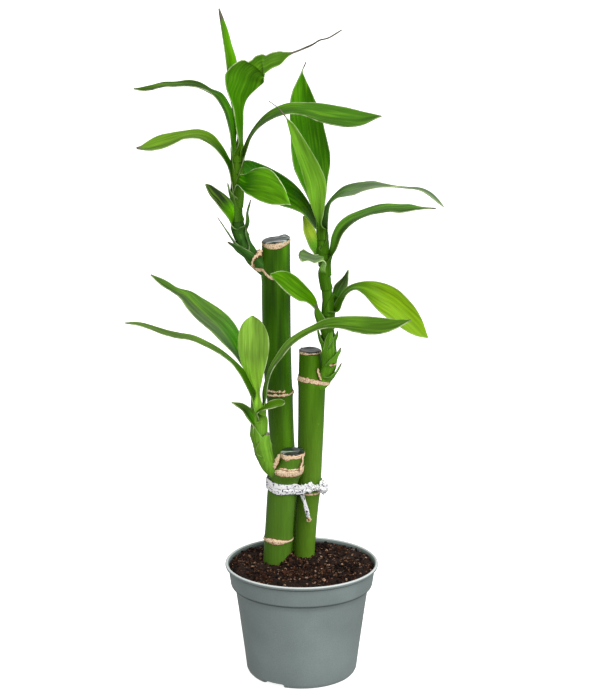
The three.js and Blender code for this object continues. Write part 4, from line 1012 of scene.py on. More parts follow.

# %% [markdown]
# ## Shoots: the table
#
# Each shoot is a stem wrapped in its leaves' sheaths. The rows repeat the CAD model, where one leaf's
# tip is sharper and some bracts are broader: the stem's axis and radius, the bracts, which are the
# small dry leaves at its foot, and the leaves, with the bearing and height where each leaves the stem.
# A row of a leaf is x, y, z of the point midway between its margins, and the step from there to its
# right-hand margin. To these the looks are added: each leaf's own green near the stem and further out,
# the painted shade and painted light that darken or brighten its left and right halves, how much painted
# sheen silvers its veins where light grazes the wax, how strongly it is folded, how wavy and how pale its
# margin is, and where its tip has dried.

# %% The tall cane's shoot
SHOOTS = {}
SHOOTS["tall"] = {
    "axis": [(-19, 20, 238, 4.6), (-26, 19, 244, 4.5), (-31, 17, 251, 4.2), (-35, 16, 260, 3.8),
             (-37, 16, 272, 3.2), (-37, 16, 283, 3), (-37, 16, 295, 2.8), (-37, 16, 306, 2.4)],
    "foot": "#41702a",
    "green": "#528018",
    "bracts": [
        dict(bearing=-20, root=262, spine=[(-31, 10, 268, 2.7), (-31, 8, 274, 1.8), (-29, 7, 282, 0.3)]),
        dict(bearing=190, root=250, spine=[(-38, 15, 256, 3.6), (-42, 13, 262, 2.4), (-48, 12, 271, 0.4)]),
        dict(bearing=-30, root=249, spine=[(-29, 13, 254, 2.2), (-31, 11, 260, 1.5), (-32, 10, 266, 0.3)]),
        dict(bearing=-108, root=244,
             spine=[(-31.5, 13, 250, 5), (-36.5, 10.5, 254, 3.2), (-42, 7.5, 257.7, 0.5)]),
        dict(bearing=200, root=280, spine=[(-41, 13, 286, 2.2), (-42, 11, 291, 0.3)]),
    ],
    "leaves": [
        dict(bearing=100, root=310, curl=0.1, tone="#548c02", outer="#519003", dry=0.9,
             sides=(0.81, 1.3), rows=[
            (-36, 20, 313.1, 1.1, 2.2, -0.3), (-37.8, 21, 336.9, 2.2, 3.6, -0.4),
            (-39.2, 22, 354.3, 3.1, 3.5, 0.2), (-40.2, 22, 361.1, 3, 3.6, -0.4),
            (-41.8, 22, 368.1, 2, 3.6, -0.1), (-43.3, 22, 375.9, 1.4, 2.8, 0),
            (-45, 21, 382.7, 0.9, 1.7, 0.1), (-46.4, 20, 388.4, 0.2, 0.4, -0),
        ]),
        dict(bearing=75, root=304, tone="#407e02", outer="#598b1d", dry=0.69, wave=0.4, fold=0.1,
             sides=(1.1, 0.93), edge=1.0, rows=[
            (-34.6, 17, 313, 1.2, 2.1, -0.3), (-35.1, 17, 319.2, 1.7, 2.5, -0.3),
            (-35.5, 17, 326.6, 2.5, 2, -0.3), (-35.9, 17, 333.7, 3.2, 2.2, -0.6),
            (-35.8, 16.5, 339.3, 5.4, 2.4, -0.7), (-33.9, 16, 344, 8.7, 2.1, -0.5),
            (-32.5, 15.5, 347.6, 10.8, 1.6, -0.9), (-31.9, 15, 351.1, 10.9, 0, -1.7),
            (-29, 15, 354.6, 8.1, 0, -4), (-26.5, 14.5, 355.8, 5.6, 0, -4.7), (-25, 14, 355.3, 4.1, 0, -4),
            (-24.1, 14, 356.6, 3.1, 0, -5), (-22.8, 13.5, 357.5, 1.9, 0, -5.5),
            (-21.6, 13, 358.1, 0.6, 0, -5.6), (-20.5, 16, 357.6, 0.4, 1.3, -5.2),
            (-17.1, 20, 359.2, 0.3, 0.9, -4.7), (-12.3, 26, 360.1, 0.2, 1.4, -3.9),
            (-8.7, 30, 361.5, 0.2, 1.2, -1.7), (-5.6, 33, 362.2, 0.1, 0.5, -0.4),
            (-2.5, 35, 363.1, 0, 0.4, -0.3), (2.5, 38, 364.9, 0.1, 0.4, -0.3),
            (6.3, 40, 366.4, 0.1, 0.4, -0.3), (10.1, 42, 368.6, 0.1, 0.4, -0.4),
            (15.2, 45, 369.6, 0.1, 0.4, -0.4), (20.3, 47, 372.3, 0.1, 0.4, -0.3),
            (23.1, 48, 374, 0.1, 0.3, -0.1),
        ]),
        dict(bearing=172, root=297.5, tone="#377802", outer="#2c4b06", sides=(0.71, 1.4), rows=[
            (-38.8, 14.5, 319.9, 1.5, 3.1, 1.6), (-40.2, 13, 328, 1.6, 4.3, 1.4),
            (-42.5, 11.5, 334.4, 1.4, 5.4, 1.3), (-46.4, 10, 340.5, 1.5, 6, 1),
            (-51.5, 7.5, 344, 0.7, 6.9, 0.1), (-57, 5, 347.1, 0.1, 6.8, 0.7),
            (-62.4, 3, 348.5, -0.2, 6.8, 0.7), (-70.2, 0, 348.4, -0.1, 6.4, 0.4),
            (-76.9, -3, 348.5, -0.3, 5.3, 0.8), (-83.7, -5.5, 347, -0.5, 3.2, 1.1),
            (-89.1, -7.5, 346.4, -0.4, 1.8, 0.7), (-93, -8, 346.7, -0, 0.4, 0.1),
        ]),
        dict(bearing=-20, root=291, tone="#3c5e17", outer="#4a7c1d", sides=(1.1, 0.86), rows=[
            (-32.2, 14.5, 309.3, 1.2, -3.3, 0.5), (-29.5, 13, 316.8, 1.2, -3.3, 0.3),
            (-25.5, 11, 322.9, 1.2, -3.8, -0.1), (-20.5, 9.5, 327.9, 0.7, -4.7, -1.1),
            (-14.4, 8.5, 331.6, 0.6, -6.1, -1.5), (-7, 6, 334, 0.2, -6.9, -2.1),
            (0.7, 3, 334.1, -0, -7.1, -2.8), (9.1, 0, 332.8, -0, -6.6, -4.5),
            (17.4, -2, 331.4, -0.1, -6.4, -4.8), (25.7, -4, 330.4, -0.1, -6.1, -4.4),
            (33.5, -6, 330.1, -0.1, -4.7, -3.1), (39.7, -7, 331, 0.1, -2.5, -1.4),
            (44.3, -8, 331.5, -0, -0.4, -0.1),
        ]),
        dict(bearing=-40, root=284.5, tone="#2b6801", outer="#5fa20e", edge=1.0, fold=0.03,
             sides=(1.3, 0.77), rows=[
            (-35.9, 9, 293, -0.6, -3.4, -2.3), (-32.1, 3, 292.5, -0.6, -5.6, -4.1),
            (-26.9, -4, 293.6, -0.9, -3.7, -7.5), (-21.6, -10, 293.5, -0.5, -3.1, -9.2),
            (-16.8, -15, 292.6, -0.3, -3.5, -8.8), (-12.3, -19, 291, 0.3, -3.1, -6.8),
            (-9.1, -22, 288.9, 0.4, -1.7, -4.4), (-6.3, -23, 284.5, 0.2, -0.5, -0.1),
        ]),
        dict(bearing=190, root=278, tone="#265702", outer="#638b23", dry=0.96, sides=(0.86, 1.1), rows=[
            (-40, 12.5, 298.2, 0.9, 3.7, 0.6), (-42.7, 9.5, 305.5, 0.6, 3.8, 1.7),
            (-47.5, 6.5, 312.9, 1.4, 5, 0.8), (-52, 3.5, 317.7, 1.5, 5.4, 1.2),
            (-57.7, 0, 320.5, 0.6, 6, 1.5), (-65, -4, 320.7, 0.2, 6.5, 1.6),
            (-73.1, -9, 318.8, -0.4, 6.5, 2.9), (-79.8, -13.5, 317.4, -0.7, 6.4, 2.9),
            (-85.6, -17.5, 316.1, -0.6, 5, 1.5), (-89.1, -19.5, 315.5, -0.2, 2.4, 0.5),
            (-91, -20, 315.5, -0.1, 0.6, 0.4),
        ]),
        dict(bearing=180, root=264, tone="#65b307", outer="#29391e", sides=(0.74, 1.3), rows=[
            (-38.9, 12, 270.7, 1.9, 2.6, 1.9), (-41.6, 9, 276.7, 2.5, 3, 2.1),
            (-45.7, 5, 282.8, 2.7, 3, 1.8), (-49.6, 2, 287.1, 1.8, 2.1, 1.7),
            (-52.6, 0, 290.9, 0.9, 1.5, 0.7), (-54, -0.5, 292.3, 0.3, 0.5, 0.1),
        ]),
    ],
}
print("Leaves on the tall cane:", len(SHOOTS["tall"]["leaves"]))

# %% The middle cane's shoot
SHOOTS["middle"] = {
    "axis": [(8, 8.5, 171, 3.5), (12.5, 6.5, 176, 4), (15, 5.2, 182.5, 4), (15.7, 4.5, 191, 3.9),
             (15.5, 4.5, 200, 3.6), (15, 5, 210, 3.3), (15, 6, 221, 3.1), (14, 7, 233, 3),
             (13, 8, 244, 2.9), (12, 8, 256, 2.6), (12, 8, 263, 2.3)],
    "foot": "#629c22",
    "green": "#437210",
    "bracts": [
        dict(bearing=-20, root=176.5,
             spine=[(18.4, 2, 181.2, 3.6), (20.8, 1.6, 184.2, 2.4), (22.8, 1.5, 188, 0.3)]),
        dict(bearing=-35, root=185,
             spine=[(18.2, 1, 190.5, 4.2), (20.6, 1, 193.5, 2.4), (22.3, 1, 197.2, 0.3)]),
        dict(bearing=-32, root=194,
             spine=[(17.6, 1.2, 199.5, 3.9), (19.3, 1.5, 203, 2.2), (20.7, 1.5, 206.9, 0.3)]),
        dict(bearing=180, root=196, spine=[(10, 4, 205, 3.2), (9, 4, 213, 0.4)]),
        dict(bearing=-85, root=190,
             spine=[(15.4, -0.4, 197, 3.2), (15.8, -0.6, 203, 2.2), (16.8, 0, 209, 0.4)]),
        dict(bearing=-120, root=204, spine=[(13, -2, 211, 4.5), (10, -4, 217, 3), (8, -5, 224, 0.5)]),
    ],
    "leaves": [
        dict(bearing=-120, root=264, tone="#89c935", outer="#89cd35", dry=0.83, sides=(0.76, 1.3), rows=[
            (10.5, 4, 267.5, -0.9, 2.9, -0.5), (9.6, 2.5, 274.7, -2.6, 3, -0.5),
            (8.8, -0.5, 284.3, -4.7, 2.4, -0.4), (7.6, -4, 294, -6, 2.4, -0.4),
            (4.3, -7, 304.1, -5.5, 3.4, -0.5), (0, -10, 314, -4, 3.4, -0.5),
            (-3.3, -12, 321.6, -2.9, 2.4, -0.3), (-6.3, -13, 328.1, -1.7, 1.5, -0.2),
            (-8.8, -14, 331.8, -0.4, 0.4, 0.2), (-13.6, -14, 337.2, -0.2, 0.2, 0.1),
            (-18, -14, 340.5, -0.2, 0.2, 0.1),
        ]),
        dict(bearing=100, root=261, tone="#458509", outer="#468807", dry=0.95, sides=(1.3, 0.77), rows=[
            (9.6, 11, 272.6, 2, 2.9, -0.5), (8.7, 15, 281.7, 5.2, 4, -0.7), (6.8, 18, 291, 8, 3.5, -0.6),
            (5.9, 20, 298.8, 10.3, 3.1, 0.1), (5.1, 21.5, 307.2, 11, 2.5, -0.4),
            (3.6, 22, 318.5, 10, 3.1, -0.4), (1.9, 21.5, 329.5, 8.6, 2.7, 0.2),
            (0.6, 20, 337.4, 6.9, 2.4, -0.4), (-0, 18.5, 343.7, 4.7, 1.6, 0.1),
            (-0.1, 17, 349.5, 2, 1, 0.2), (0.2, 16, 353.8, 0.3, 0.4, -0), (1.3, 15.7, 356.4, 0.2, 0.2, -0),
            (2.4, 15.5, 358.9, 0.1, 0.2, -0),
        ]),
        dict(bearing=10, root=257, tone="#4a752f", outer="#6e885e", silver=(0.1, 0.3),
             sides=(0.87, 1.1), rows=[
            (12.9, 7, 268.1, 1.9, -2.9, 0.5), (13.7, 7, 275.4, 1.6, -3.1, 0.4),
            (15.5, 6.5, 280.1, 1.1, -3.8, 0.5), (19, 5.5, 284.1, 1.2, -4.7, -0.2),
            (23.3, 4, 287.1, 0.5, -5.3, -1.9), (28.7, 2.5, 288.9, 0.2, -5.7, -2.3),
            (34, 1, 290.6, -0.2, -6, -1.5), (40.1, -1, 291.9, -0.2, -5.7, -0.9),
            (46.7, -3, 291.9, -0.2, -4.9, -0.1), (52.3, -4.5, 291.7, -0.2, -4, 0.2),
            (59.5, -5.5, 291.1, -0.2, -3.9, -0), (66.1, -6.5, 290.5, -0.3, -3.4, -0.3),
            (71.5, -7.5, 288, -0.4, -2.8, -0.5), (76.1, -8.5, 284.1, -0.5, -1.3, -0.5),
            (79.4, -9, 280.8, -0.1, -0.4, -0),
        ]),
        dict(bearing=162, root=253, tone="#3b6b02", outer="#337901", sides=(1.1, 0.91), rows=[
            (11.4, 10, 261.5, -0.7, 3.4, 1.4), (8, 13.5, 267.1, 0.5, 4.5, 1.4),
            (3.3, 16, 274.7, 1.4, 5.4, 2.4), (-3.3, 20, 280.4, 1.7, 3.8, 5.6),
            (-11, 24, 284.2, 2, 1.4, 7.9), (-19.4, 27, 288.4, 2.3, 0.8, 8), (-27.2, 29, 293.7, 2, 2.5, 5.8),
            (-32.7, 30, 297.8, 1.7, 0.9, 3.3), (-36.7, 30, 300, 0.2, 0.3, 0.2),
        ]),
        dict(bearing=136, root=248.5, curl=0.06, tone="#8bd73b", outer="#d9ff4d", sides=(0.71, 1.4), rows=[
            (9.1, 12, 250.3, 2, 2.2, 0.2), (6.3, 14, 256.4, 3, 2.6, 0.1), (4.3, 16, 263, 3, 3.3, -0),
            (2.6, 17.5, 267.5, 1.9, 2.3, 0), (1.2, 18.5, 270.7, 0.5, 0.6, 0),
        ]),
        dict(bearing=0, root=245, tone="#578829", outer="#4c762c", dry=0.95, sides=(1.5, 0.6), rows=[
            (18.1, 4, 255.4, 1.9, -3.4, 0.1), (19.7, 2.5, 262, 2.5, -3.7, 0.1),
            (22.8, 0.5, 267.9, 2.2, -4.8, -0.5), (27.5, -1.5, 272.4, 1.8, -6, -0.5),
            (32.5, -3.5, 275.3, 1.2, -6.6, -0.6), (38.1, -5, 277.6, 0.6, -7.1, -1),
            (43.4, -6.5, 279.3, 0.3, -6.4, -1.5), (48.6, -8, 280.2, 0.1, -5.5, -1.4),
            (55, -9.5, 280, -0.2, -4.5, -1.4), (60.5, -11, 280.6, -0.2, -3.6, -1.1),
            (66, -12, 280.6, -0.1, -2.4, -0.4), (74.8, -14, 280.8, -0, -0.4, -0.1),
        ]),
        dict(bearing=195, root=240, curl=0.12, tone="#89b955", outer="#688155", silver=(0.2, 0.1),
             sides=(1.3, 0.74), rows=[
            (12.4, 3, 249.5, 0.3, 3.4, 1.3), (7.8, 2, 249, 0.3, 3.9, 1.4), (3.6, 0, 250.8, 0, 4.2, 1.9),
            (-0.1, -2, 252, 0.3, 3.9, 2.7), (-0.9, -2.4, 252.6, 0.1, 3.3, 1.7),
        ]),
        dict(bearing=30, root=225, curl=0.1, tone="#348100", outer="#486331", sides=(0.6, 1.5), rows=[
            (18.6, 8, 221.3, 1.7, -2.4, -0.1), (20.3, 9.5, 227.1, 2.8, -2.8, 0.3),
            (22.1, 11, 230.8, 3.5, -2.7, 0.1), (24.4, 12, 234.7, 2.3, -2.6, 0.7),
            (26.7, 13, 240.2, 0.2, -0.4, 0.1),
        ]),
        dict(bearing=-10, root=217, tone="#487714", outer="#83af17", sides=(0.95, 1), rows=[
            (19.5, 2, 219.7, 1.5, -3.5, -0.4), (21.9, 1, 225, 1.4, -3.7, 0.1),
            (24.9, 0, 229.9, 1, -4.3, 0.2), (29, -2, 233.2, 0.9, -5.2, -0.3),
            (34.4, -4, 233.5, -0, -5.9, -2.4), (40.1, -5.5, 231.4, -1, -5.5, -5.2),
            (46.2, -7, 228, -1.6, -3.5, -7.7), (51.9, -8, 224.6, -2.1, -2.3, -8.5),
            (57.5, -9, 220.3, -2.4, -2.8, -7.6), (62.5, -10, 215.8, -2.3, -1.8, -6.5),
            (66.8, -10.5, 211.3, -1.7, -1.2, -4.3), (71.5, -11, 205.9, -0.2, -0.5, -0.1),
        ]),
        dict(bearing=200, root=209.5, tone="#4c8601", outer="#4d8701", edge=0.8, sides=(1, 1), rows=[
            (7.6, 1, 222, 1.2, 3.2, 0.2), (4.6, -3, 227, 1.9, 4.8, 1), (0.2, -8, 231.4, 1.7, 5.5, 3.6),
            (-4.5, -12, 236, 1.8, 5.7, 4.1), (-9.4, -16, 240.6, 1.6, 5.1, 3.4),
            (-13.8, -18.5, 243.3, 1.1, 3.3, 2.1), (-17.7, -20, 244.4, 0.1, 0.6, 0.3),
        ]),
    ],
}
print("Leaves on the middle cane:", len(SHOOTS["middle"]["leaves"]))

# %% The short cane's shoot
SHOOTS["short"] = {
    "axis": [(-13, 1, 121.5, 4.2), (-17.5, -0.5, 125.5, 4.6), (-20.3, -1.4, 130, 4.6),
             (-22.2, -2, 136, 4.4), (-24, -2, 144, 4.3), (-25, -2, 153, 4.1), (-25, -2, 161, 3.4)],
    "foot": "#6da02e",
    "green": "#74aa30",
    "bracts": [
        dict(bearing=175, root=132, spine=[(-27, -1, 137, 2.4), (-28, -1, 140, 0.4)]),
        dict(bearing=-60, root=135, spine=[(-21.5, -6.6, 143, 4), (-19.6, -7.4, 149, 0.7)]),
        dict(bearing=-125, root=139, spine=[(-26.5, -6.3, 147, 4), (-28.6, -7, 154, 0.6)]),
    ],
    "leaves": [
        dict(bearing=-110, root=161, curl=0.05, tone="#a7e344", outer="#82af3d", sides=(0.73, 1.4), rows=[
            (-25.1, -5.5, 170.8, -1.2, 1.9, -0.5), (-26, -6.5, 177.6, -3.1, 2.6, -0.7),
            (-26.9, -7, 184.2, -5.4, 3.3, -0.9), (-27.3, -7, 191.3, -7.5, 2.8, -0.7),
            (-27.5, -6.5, 198.2, -8.9, 2.7, -0.7), (-27.5, -5, 204.9, -8.7, 2.5, -0.6),
            (-27.8, -3, 210.3, -7, 2.9, -0.7), (-27.9, -1.5, 213.7, -4.6, 2.1, -0.4),
            (-28.1, -0.8, 215.2, -2.3, 1, -0.3), (-28.2, -0.5, 216.4, -0.3, 0.4, -0.1),
        ]),
        dict(bearing=160, root=160.5, curl=0.05, tone="#398603", outer="#476d23",
             sides=(0.68, 1.5), silver=(0.2, 0), rows=[
            (-28.8, 0, 178, 0.9, 2.8, -0.4), (-31.9, 3, 185.4, 1.5, 4.2, -0.6),
            (-36, 7, 192.8, 2.6, 5.7, 0.1), (-40.9, 11, 200.8, 5, 5.8, 1.9),
            (-47.4, 15, 207.9, 5.7, 5.2, 2.7), (-54.6, 18, 213.4, 5.3, 5.5, 2.6),
            (-61.5, 21, 218.5, 4.6, 5, 1.7), (-67.4, 23, 223.6, 3.4, 4.4, 0.8),
            (-74.6, 25, 226.5, 2.4, 2.9, 0.3), (-80.7, 26, 230.1, 1.4, 1.4, 1.2),
            (-87.9, 27, 234.5, 0.1, 0.4, 0.2),
        ]),
        dict(bearing=0, root=160, tone="#638c30", outer="#507a1d", sides=(1.1, 0.86), rows=[
            (-21.3, -6, 171.5, 1.3, -2.7, 0.7), (-20.4, -7.5, 177.9, 1.2, -3, 0.8),
            (-17.6, -10, 187.4, 1.3, -3.2, 0.5), (-13.2, -12, 194.9, 1.5, -3.7, 0.3),
            (-7.5, -14, 203, 1.2, -3.7, -0.3), (-0.7, -16, 208.7, 0.8, -4.2, -0.5),
            (6.1, -17.5, 212.7, 0.5, -5.2, -0.6), (12.4, -19, 215.7, 0.4, -6, -1.2),
            (20.1, -20.5, 217.1, 0.2, -6.7, -1.8), (28.8, -21.5, 216.5, -0.1, -6.7, -2.9),
            (38.3, -22.5, 215.8, -0.2, -6.3, -3.5), (46.7, -23.2, 215.9, -0.2, -5.1, -2.9),
            (53.9, -23.7, 217.1, -0.1, -3.2, -1.6), (61.2, -24, 219.4, -0, -0.4, -0.1),
        ]),
        dict(bearing=-170, root=159, tone="#3b6809", outer="#587a2d", sides=(0.92, 1), rows=[
            (-27.3, -4, 169.5, 1.5, 3.6, -0.1), (-30.3, -6.5, 177.8, 1.9, 4.6, -1),
            (-34.5, -9, 185.8, 1.4, 4.6, -0.2), (-39.9, -11, 192.6, 1.2, 5.3, -0.7),
            (-46.9, -13.5, 198.8, 0.9, 5.8, -0.6), (-54.4, -16, 203.8, 0.6, 6.4, -0.6),
            (-61.8, -18.5, 207.8, 0.2, 6.8, -0.3), (-69.4, -20.5, 209.6, 0.3, 6.7, 0.1),
            (-77.1, -23, 212.1, 0.1, 5.7, 0.4), (-85, -25, 215.4, -0.2, 4.3, 0.3),
            (-91.8, -27, 217.8, -0.3, 2.3, 0.4), (-98.6, -28, 218.5, -0, 0.4, 0.1),
        ]),
        dict(bearing=-20, root=157, curl=0.08, tone="#315d02", outer="#548113", sides=(0.92, 1), rows=[
            (-26, -6.5, 161.1, 0.3, -2.9, 0.1), (-21.2, -9.5, 164.6, 0.5, -3.6, -0.6),
            (-16, -12, 167.4, 0.5, -3.7, -1), (-11.5, -13.5, 168.6, 0.3, -2.9, -1.2),
            (-9.6, -14.5, 169, 0, -1.2, -0.2),
        ]),
        dict(bearing=175, root=148, curl=0.08, tone="#438b01", outer="#35511a", sides=(0.6, 1.4), rows=[
            (-27.2, -5.5, 153.8, 0.8, 2.7, 1.3), (-30.2, -8, 160.9, 1.7, 3, 1.1),
            (-34.4, -11, 165.8, 1.1, 2.3, 0.8), (-40.1, -13, 168.5, 0.1, 0.4, 0.1),
        ]),
    ],
}
print("Leaves on the short cane:", len(SHOOTS["short"]["leaves"]))

# %% [markdown]
# ## Stems
#
# What looks like a stem is mostly sheath, so only its foot, where it swells out of the cane, and a few
# rings between the bracts are bare. It is a tube wrapped round the stem's line, with a low ring where
# each leaf starts.

# %% Wrap the stems
for shoot in SHOOTS.values():
    shoot["stem"] = Stem(shoot["axis"])


def stem_rule(shoot):
    stem = shoot["stem"]
    roots = [leaf["root"] for leaf in shoot["bracts"] + shoot["leaves"]]

    def rule(u, v):
        _, row, centre, ahead = stem.by_row(v)
        side = carried((0, 1, 0), ahead)
        other = np.cross(ahead, side)
        angle = 2 * np.pi * u
        height = centre[row, 2]
        radius = stem.radius(height) + sum(0.12 * bell(height, root - 4, 1.2) for root in roots)
        radius = radius * np.where(v > 0.995, 0.05, 1)
        out = side[row] * np.cos(angle)[:, None] + other[row] * np.sin(angle)[:, None]
        return centre[row] + out * radius[:, None], {}

    return rule


stems = {}
for name, shoot in SHOOTS.items():
    stems[name] = wrapped(f"shoot_{name}_stem", 28, 90, stem_rule(shoot), closed=True)
    face_out(stems[name])
    print(stems[name].name, sizes(stems[name]))

# %% [markdown]
# ## Leaves
#
# A dracaena leaf has no stalk. Its foot is a sheath that clasps the stem, which narrows to a channel and
# opens into a long blade with parallel veins, a pale margin and a pointed tip that often dries. One rule
# makes them all: rows along the leaf's line, each bent to an arc that ends in the two margins. Solidify
# then gives the blade its real thickness, about half a millimetre, and its underside a material of its own.

# %% Stations of a leaf
# sides darkens or brightens each half of a blade as painted shade and painted light; silver is the share of
# painted sheen on each half
PLAIN_LEAF = dict(curl=0.035, wave=0.3, fold=0.06, dry=0.985, sides=(1, 1), silver=(0, 0), edge=0.7)


def shade_of(colour):
    """A colour's linear values, from a hex code or from values that are linear already."""
    return np.array(linear(colour) if isinstance(colour, str) else colour)


def leaf_stations(leaf, stem, sheath, sunk, clasp):
    """Stations along the leaf's rib: its place, the step across to a margin if the blade lay flat, and the
    curl, which is one over the radius of the blade's trough."""
    side = bearing(leaf["bearing"])
    right = np.array([side[1], -side[0], 0])
    stations = []
    for height, wrap, clear in ((leaf["root"] - sheath, clasp[0], 0.35), (leaf["root"], clasp[1], 0.85)):
        hug = stem.radius(height) + clear - sunk
        stations.append([*(stem.at_height(height) + side * hug), *(right * hug * wrap), 1 / hug])
    rows = np.array(leaf["rows"], float)
    middles, halves = rows[:, :3], rows[:, 3:]
    before = np.concatenate([middles[:1], middles[:-1]])
    after = np.concatenate([middles[1:], middles[-1:]])
    up = unit(np.cross(halves, unit(after - before)))
    curl, size = leaf["curl"], np.linalg.norm(halves, axis=1)
    angle = np.arcsin(curl * size)
    ribs = middles - up * ((1 - np.cos(angle)) / curl)[:, None]
    reach = halves * (angle / curl / size)[:, None]
    return stations + np.column_stack([ribs, reach, np.full(len(rows), curl)]).tolist()


print("A plain leaf:", PLAIN_LEAF)

# %% Bend a leaf
BLADE = 0.5  # millimetres thick
ACROSS, ALONG = 20, 110
SHEATH = 7  # length of a sheath


def bend_leaf(name, spec, stem, seed, sheath=SHEATH, sunk=0.0, clasp=(2.9, 1.45), across=ACROSS, along=ALONG):
    leaf = {**PLAIN_LEAF, **spec}
    leaf.setdefault("outer", leaf["tone"])
    foot, near, far = (shade_of(leaf[part]) for part in ("foot", "tone", "outer"))
    route = Line(leaf_stations(leaf, stem, sheath, sunk, clasp))
    neck = route.run[SPAN] / route.length

    def rule(u, v):
        share, row, place, ahead = route.by_row(v)
        t = np.where(share < neck, share / neck - 1, (share - neck) / (1 - neck))[row]
        flat = unit(place[:, 3:6])
        up = unit(np.cross(flat, ahead))[row]
        size = np.linalg.norm(place[:, 3:6], axis=1)[row]
        rib, flat, curl = place[row, :3], flat[row], place[row, 6]
        s = 2 * u - 1
        angle = curl * size * s
        opened = smooth(0.1, 0.3, t)
        ripple = np.sin(2 * np.pi * (2.3 * t + 0.13 * seed) + 1.9 * s)
        lift = (1 - np.cos(angle)) / curl
        lift = lift + leaf["fold"] * size * (np.abs(s) - 1) * opened
        lift = lift + leaf["wave"] * s**2 * ripple * opened * smooth(1, 0.85, t)
        lift = lift + 0.12 * s * (t < 0.03)  # one edge of the sheath laps over the other
        points = rib + flat * (np.sin(angle) / curl)[:, None] + up * lift[:, None]
        tone = near + (far - near) * smooth(0.28, 0.62, t)[:, None]
        # painted shade and painted light: each half of the blade is darkened or brightened by its factor in
        # sides
        tone[:, :3] *= np.interp(s, [-0.35, 0.35], leaf["sides"])[:, None]
        return points, {
            "tone": foot + (tone - foot) * smooth(0, 0.14, t)[:, None],
            "grain": np.stack([s * size, v * route.length, 0 * u + 11 * seed], axis=-1),
            "margin": size * (1 - np.abs(s)),
            # painted sheen: the share of silvery grazing light painted on each half
            "painted_sheen": np.interp(s, [-0.2, 0.2], leaf["silver"]) * smooth(0.08, 0.25, t) * smooth(0.95, 0.6, t),
            "dry": smooth(leaf["dry"], leaf["dry"] + 0.03, t),
            "blade": leaf["edge"] * smooth(-0.05, 0.2, t),
        }

    piece = wrapped(name, across, along, rule)
    piece.data.materials.append(UPPER)
    piece.data.materials.append(UNDER)
    modify(piece, "SOLIDIFY", thickness=BLADE * MM, offset=0, material_offset=1, material_offset_rim=1)
    return piece


print("A leaf's grid:", ACROSS, "by", ALONG)

# %% [markdown]
# The upper face of a blade is a waxy green that shines softly, and the underside is paler and duller. The
# veins run along the leaf about 0.7 mm apart, in broader streaks of lighter and darker green. They follow
# the blade and not the room, so the noise reads each leaf's own "grain", its distance across and along in
# millimetres. The lightest streaks carry a painted glint, yellow green on the upper face and faint on the
# underside. The margin is a pale line a third of a millimetre wide that comes and goes, where light grazes
# the wax a painted sheen turns the veins silvery, and a dried tip is grey brown.


# %% Material of the leaves
def leaf_material(name, sunny, light, **constants):
    """A leaf's material, whose lighter streaks carry a painted glint: they are mixed towards the given glint
    colour, by the given share at most.
    """
    blade, tree = new_material(name)
    own = add(tree, "Attribute", attribute_name="tone")["Color"]
    grain = add(tree, "Attribute", attribute_name="grain")["Vector"]
    painted_sheen, margin, is_blade, gone = (
        add(tree, "Attribute", attribute_name=layer)["Fac"] for layer in ("painted_sheen", "margin", "blade", "dry"))
    drawn = add(tree, "Mapping", {"Vector": grain, "Scale": (1.6, 0.04, 1)})["Vector"]
    veins = add(tree, "TexNoise", {"Vector": drawn, "Scale": 1, "Detail": 2, "Roughness": 0.65})["Fac"]
    broad = add(tree, "Mapping", {"Vector": grain, "Scale": (0.5, 0.04, 1)})["Vector"]
    streaks = add(tree, "TexNoise", {"Vector": broad, "Scale": 1, "Detail": 2})["Fac"]
    fine = add(tree, "MapRange", [veins, 0.3, 0.7, 0.8, 1.2])["Result"]
    wide = add(tree, "MapRange", [streaks, 0.3, 0.7, 0.74, 1.28])["Result"]
    shade = add(tree, "Math", [fine, wide], operation="MULTIPLY")["Value"]
    green = add(tree, "VectorMath", {0: own, "Scale": shade}, operation="SCALE")["Vector"]
    # painted glint: the lightest streaks are mixed towards a yellow green on the upper face, faintly on the
    # underside
    sunlit = add(tree, "MapRange", [streaks, 0.52, 0.72, 0, sunny])["Result"]
    lit = add(tree, "Mix", {FACTOR: sunlit, COLOUR_A: green, COLOUR_B: linear(light)}, **BLEND)[MIXED]
    # painted sheen: where light grazes the wax, the veins are mixed towards a silvery green
    sheen_on_veins = add(tree, "MapRange", [veins, 0.35, 0.6, 0.55, 1])["Result"]
    waxy = add(tree, "Math", [painted_sheen, sheen_on_veins], operation="MULTIPLY")["Value"]
    silver = add(tree, "Mix", {FACTOR: waxy, COLOUR_A: lit, COLOUR_B: linear("#a9b897")}, **BLEND)[MIXED]
    near = add(tree, "MapRange", [margin, 0.55, 0.25])["Result"]
    broken = add(tree, "Mapping", {"Vector": grain, "Scale": (0.1, 0.16, 1)})["Vector"]
    gaps = add(tree, "TexNoise", {"Vector": broken, "Scale": 1, "Detail": 2})["Fac"]
    kept = add(tree, "MapRange", [gaps, 0.4, 0.6, 0.25, 1])["Result"]
    strong = add(tree, "Math", [near, is_blade], operation="MULTIPLY")["Value"]
    line = add(tree, "Math", [strong, kept], operation="MULTIPLY")["Value"]
    rimmed = add(tree, "Mix", {FACTOR: line, COLOUR_A: silver, COLOUR_B: linear("#cfe0a6")}, **BLEND)[MIXED]
    ash = add(tree, "ValToRGB", [veins], [(0.35, "#4b463a"), (0.65, "#8e8672")])["Color"]
    whole = add(tree, "Mix", {FACTOR: gone, COLOUR_A: rimmed, COLOUR_B: ash}, **BLEND)[MIXED]
    bump = add(tree, "Bump", {"Height": veins, "Strength": 0.35, "Distance": 0.14 * MM})["Normal"]
    surface(tree, Base_Color=whole, Normal=bump, **constants)
    return blade


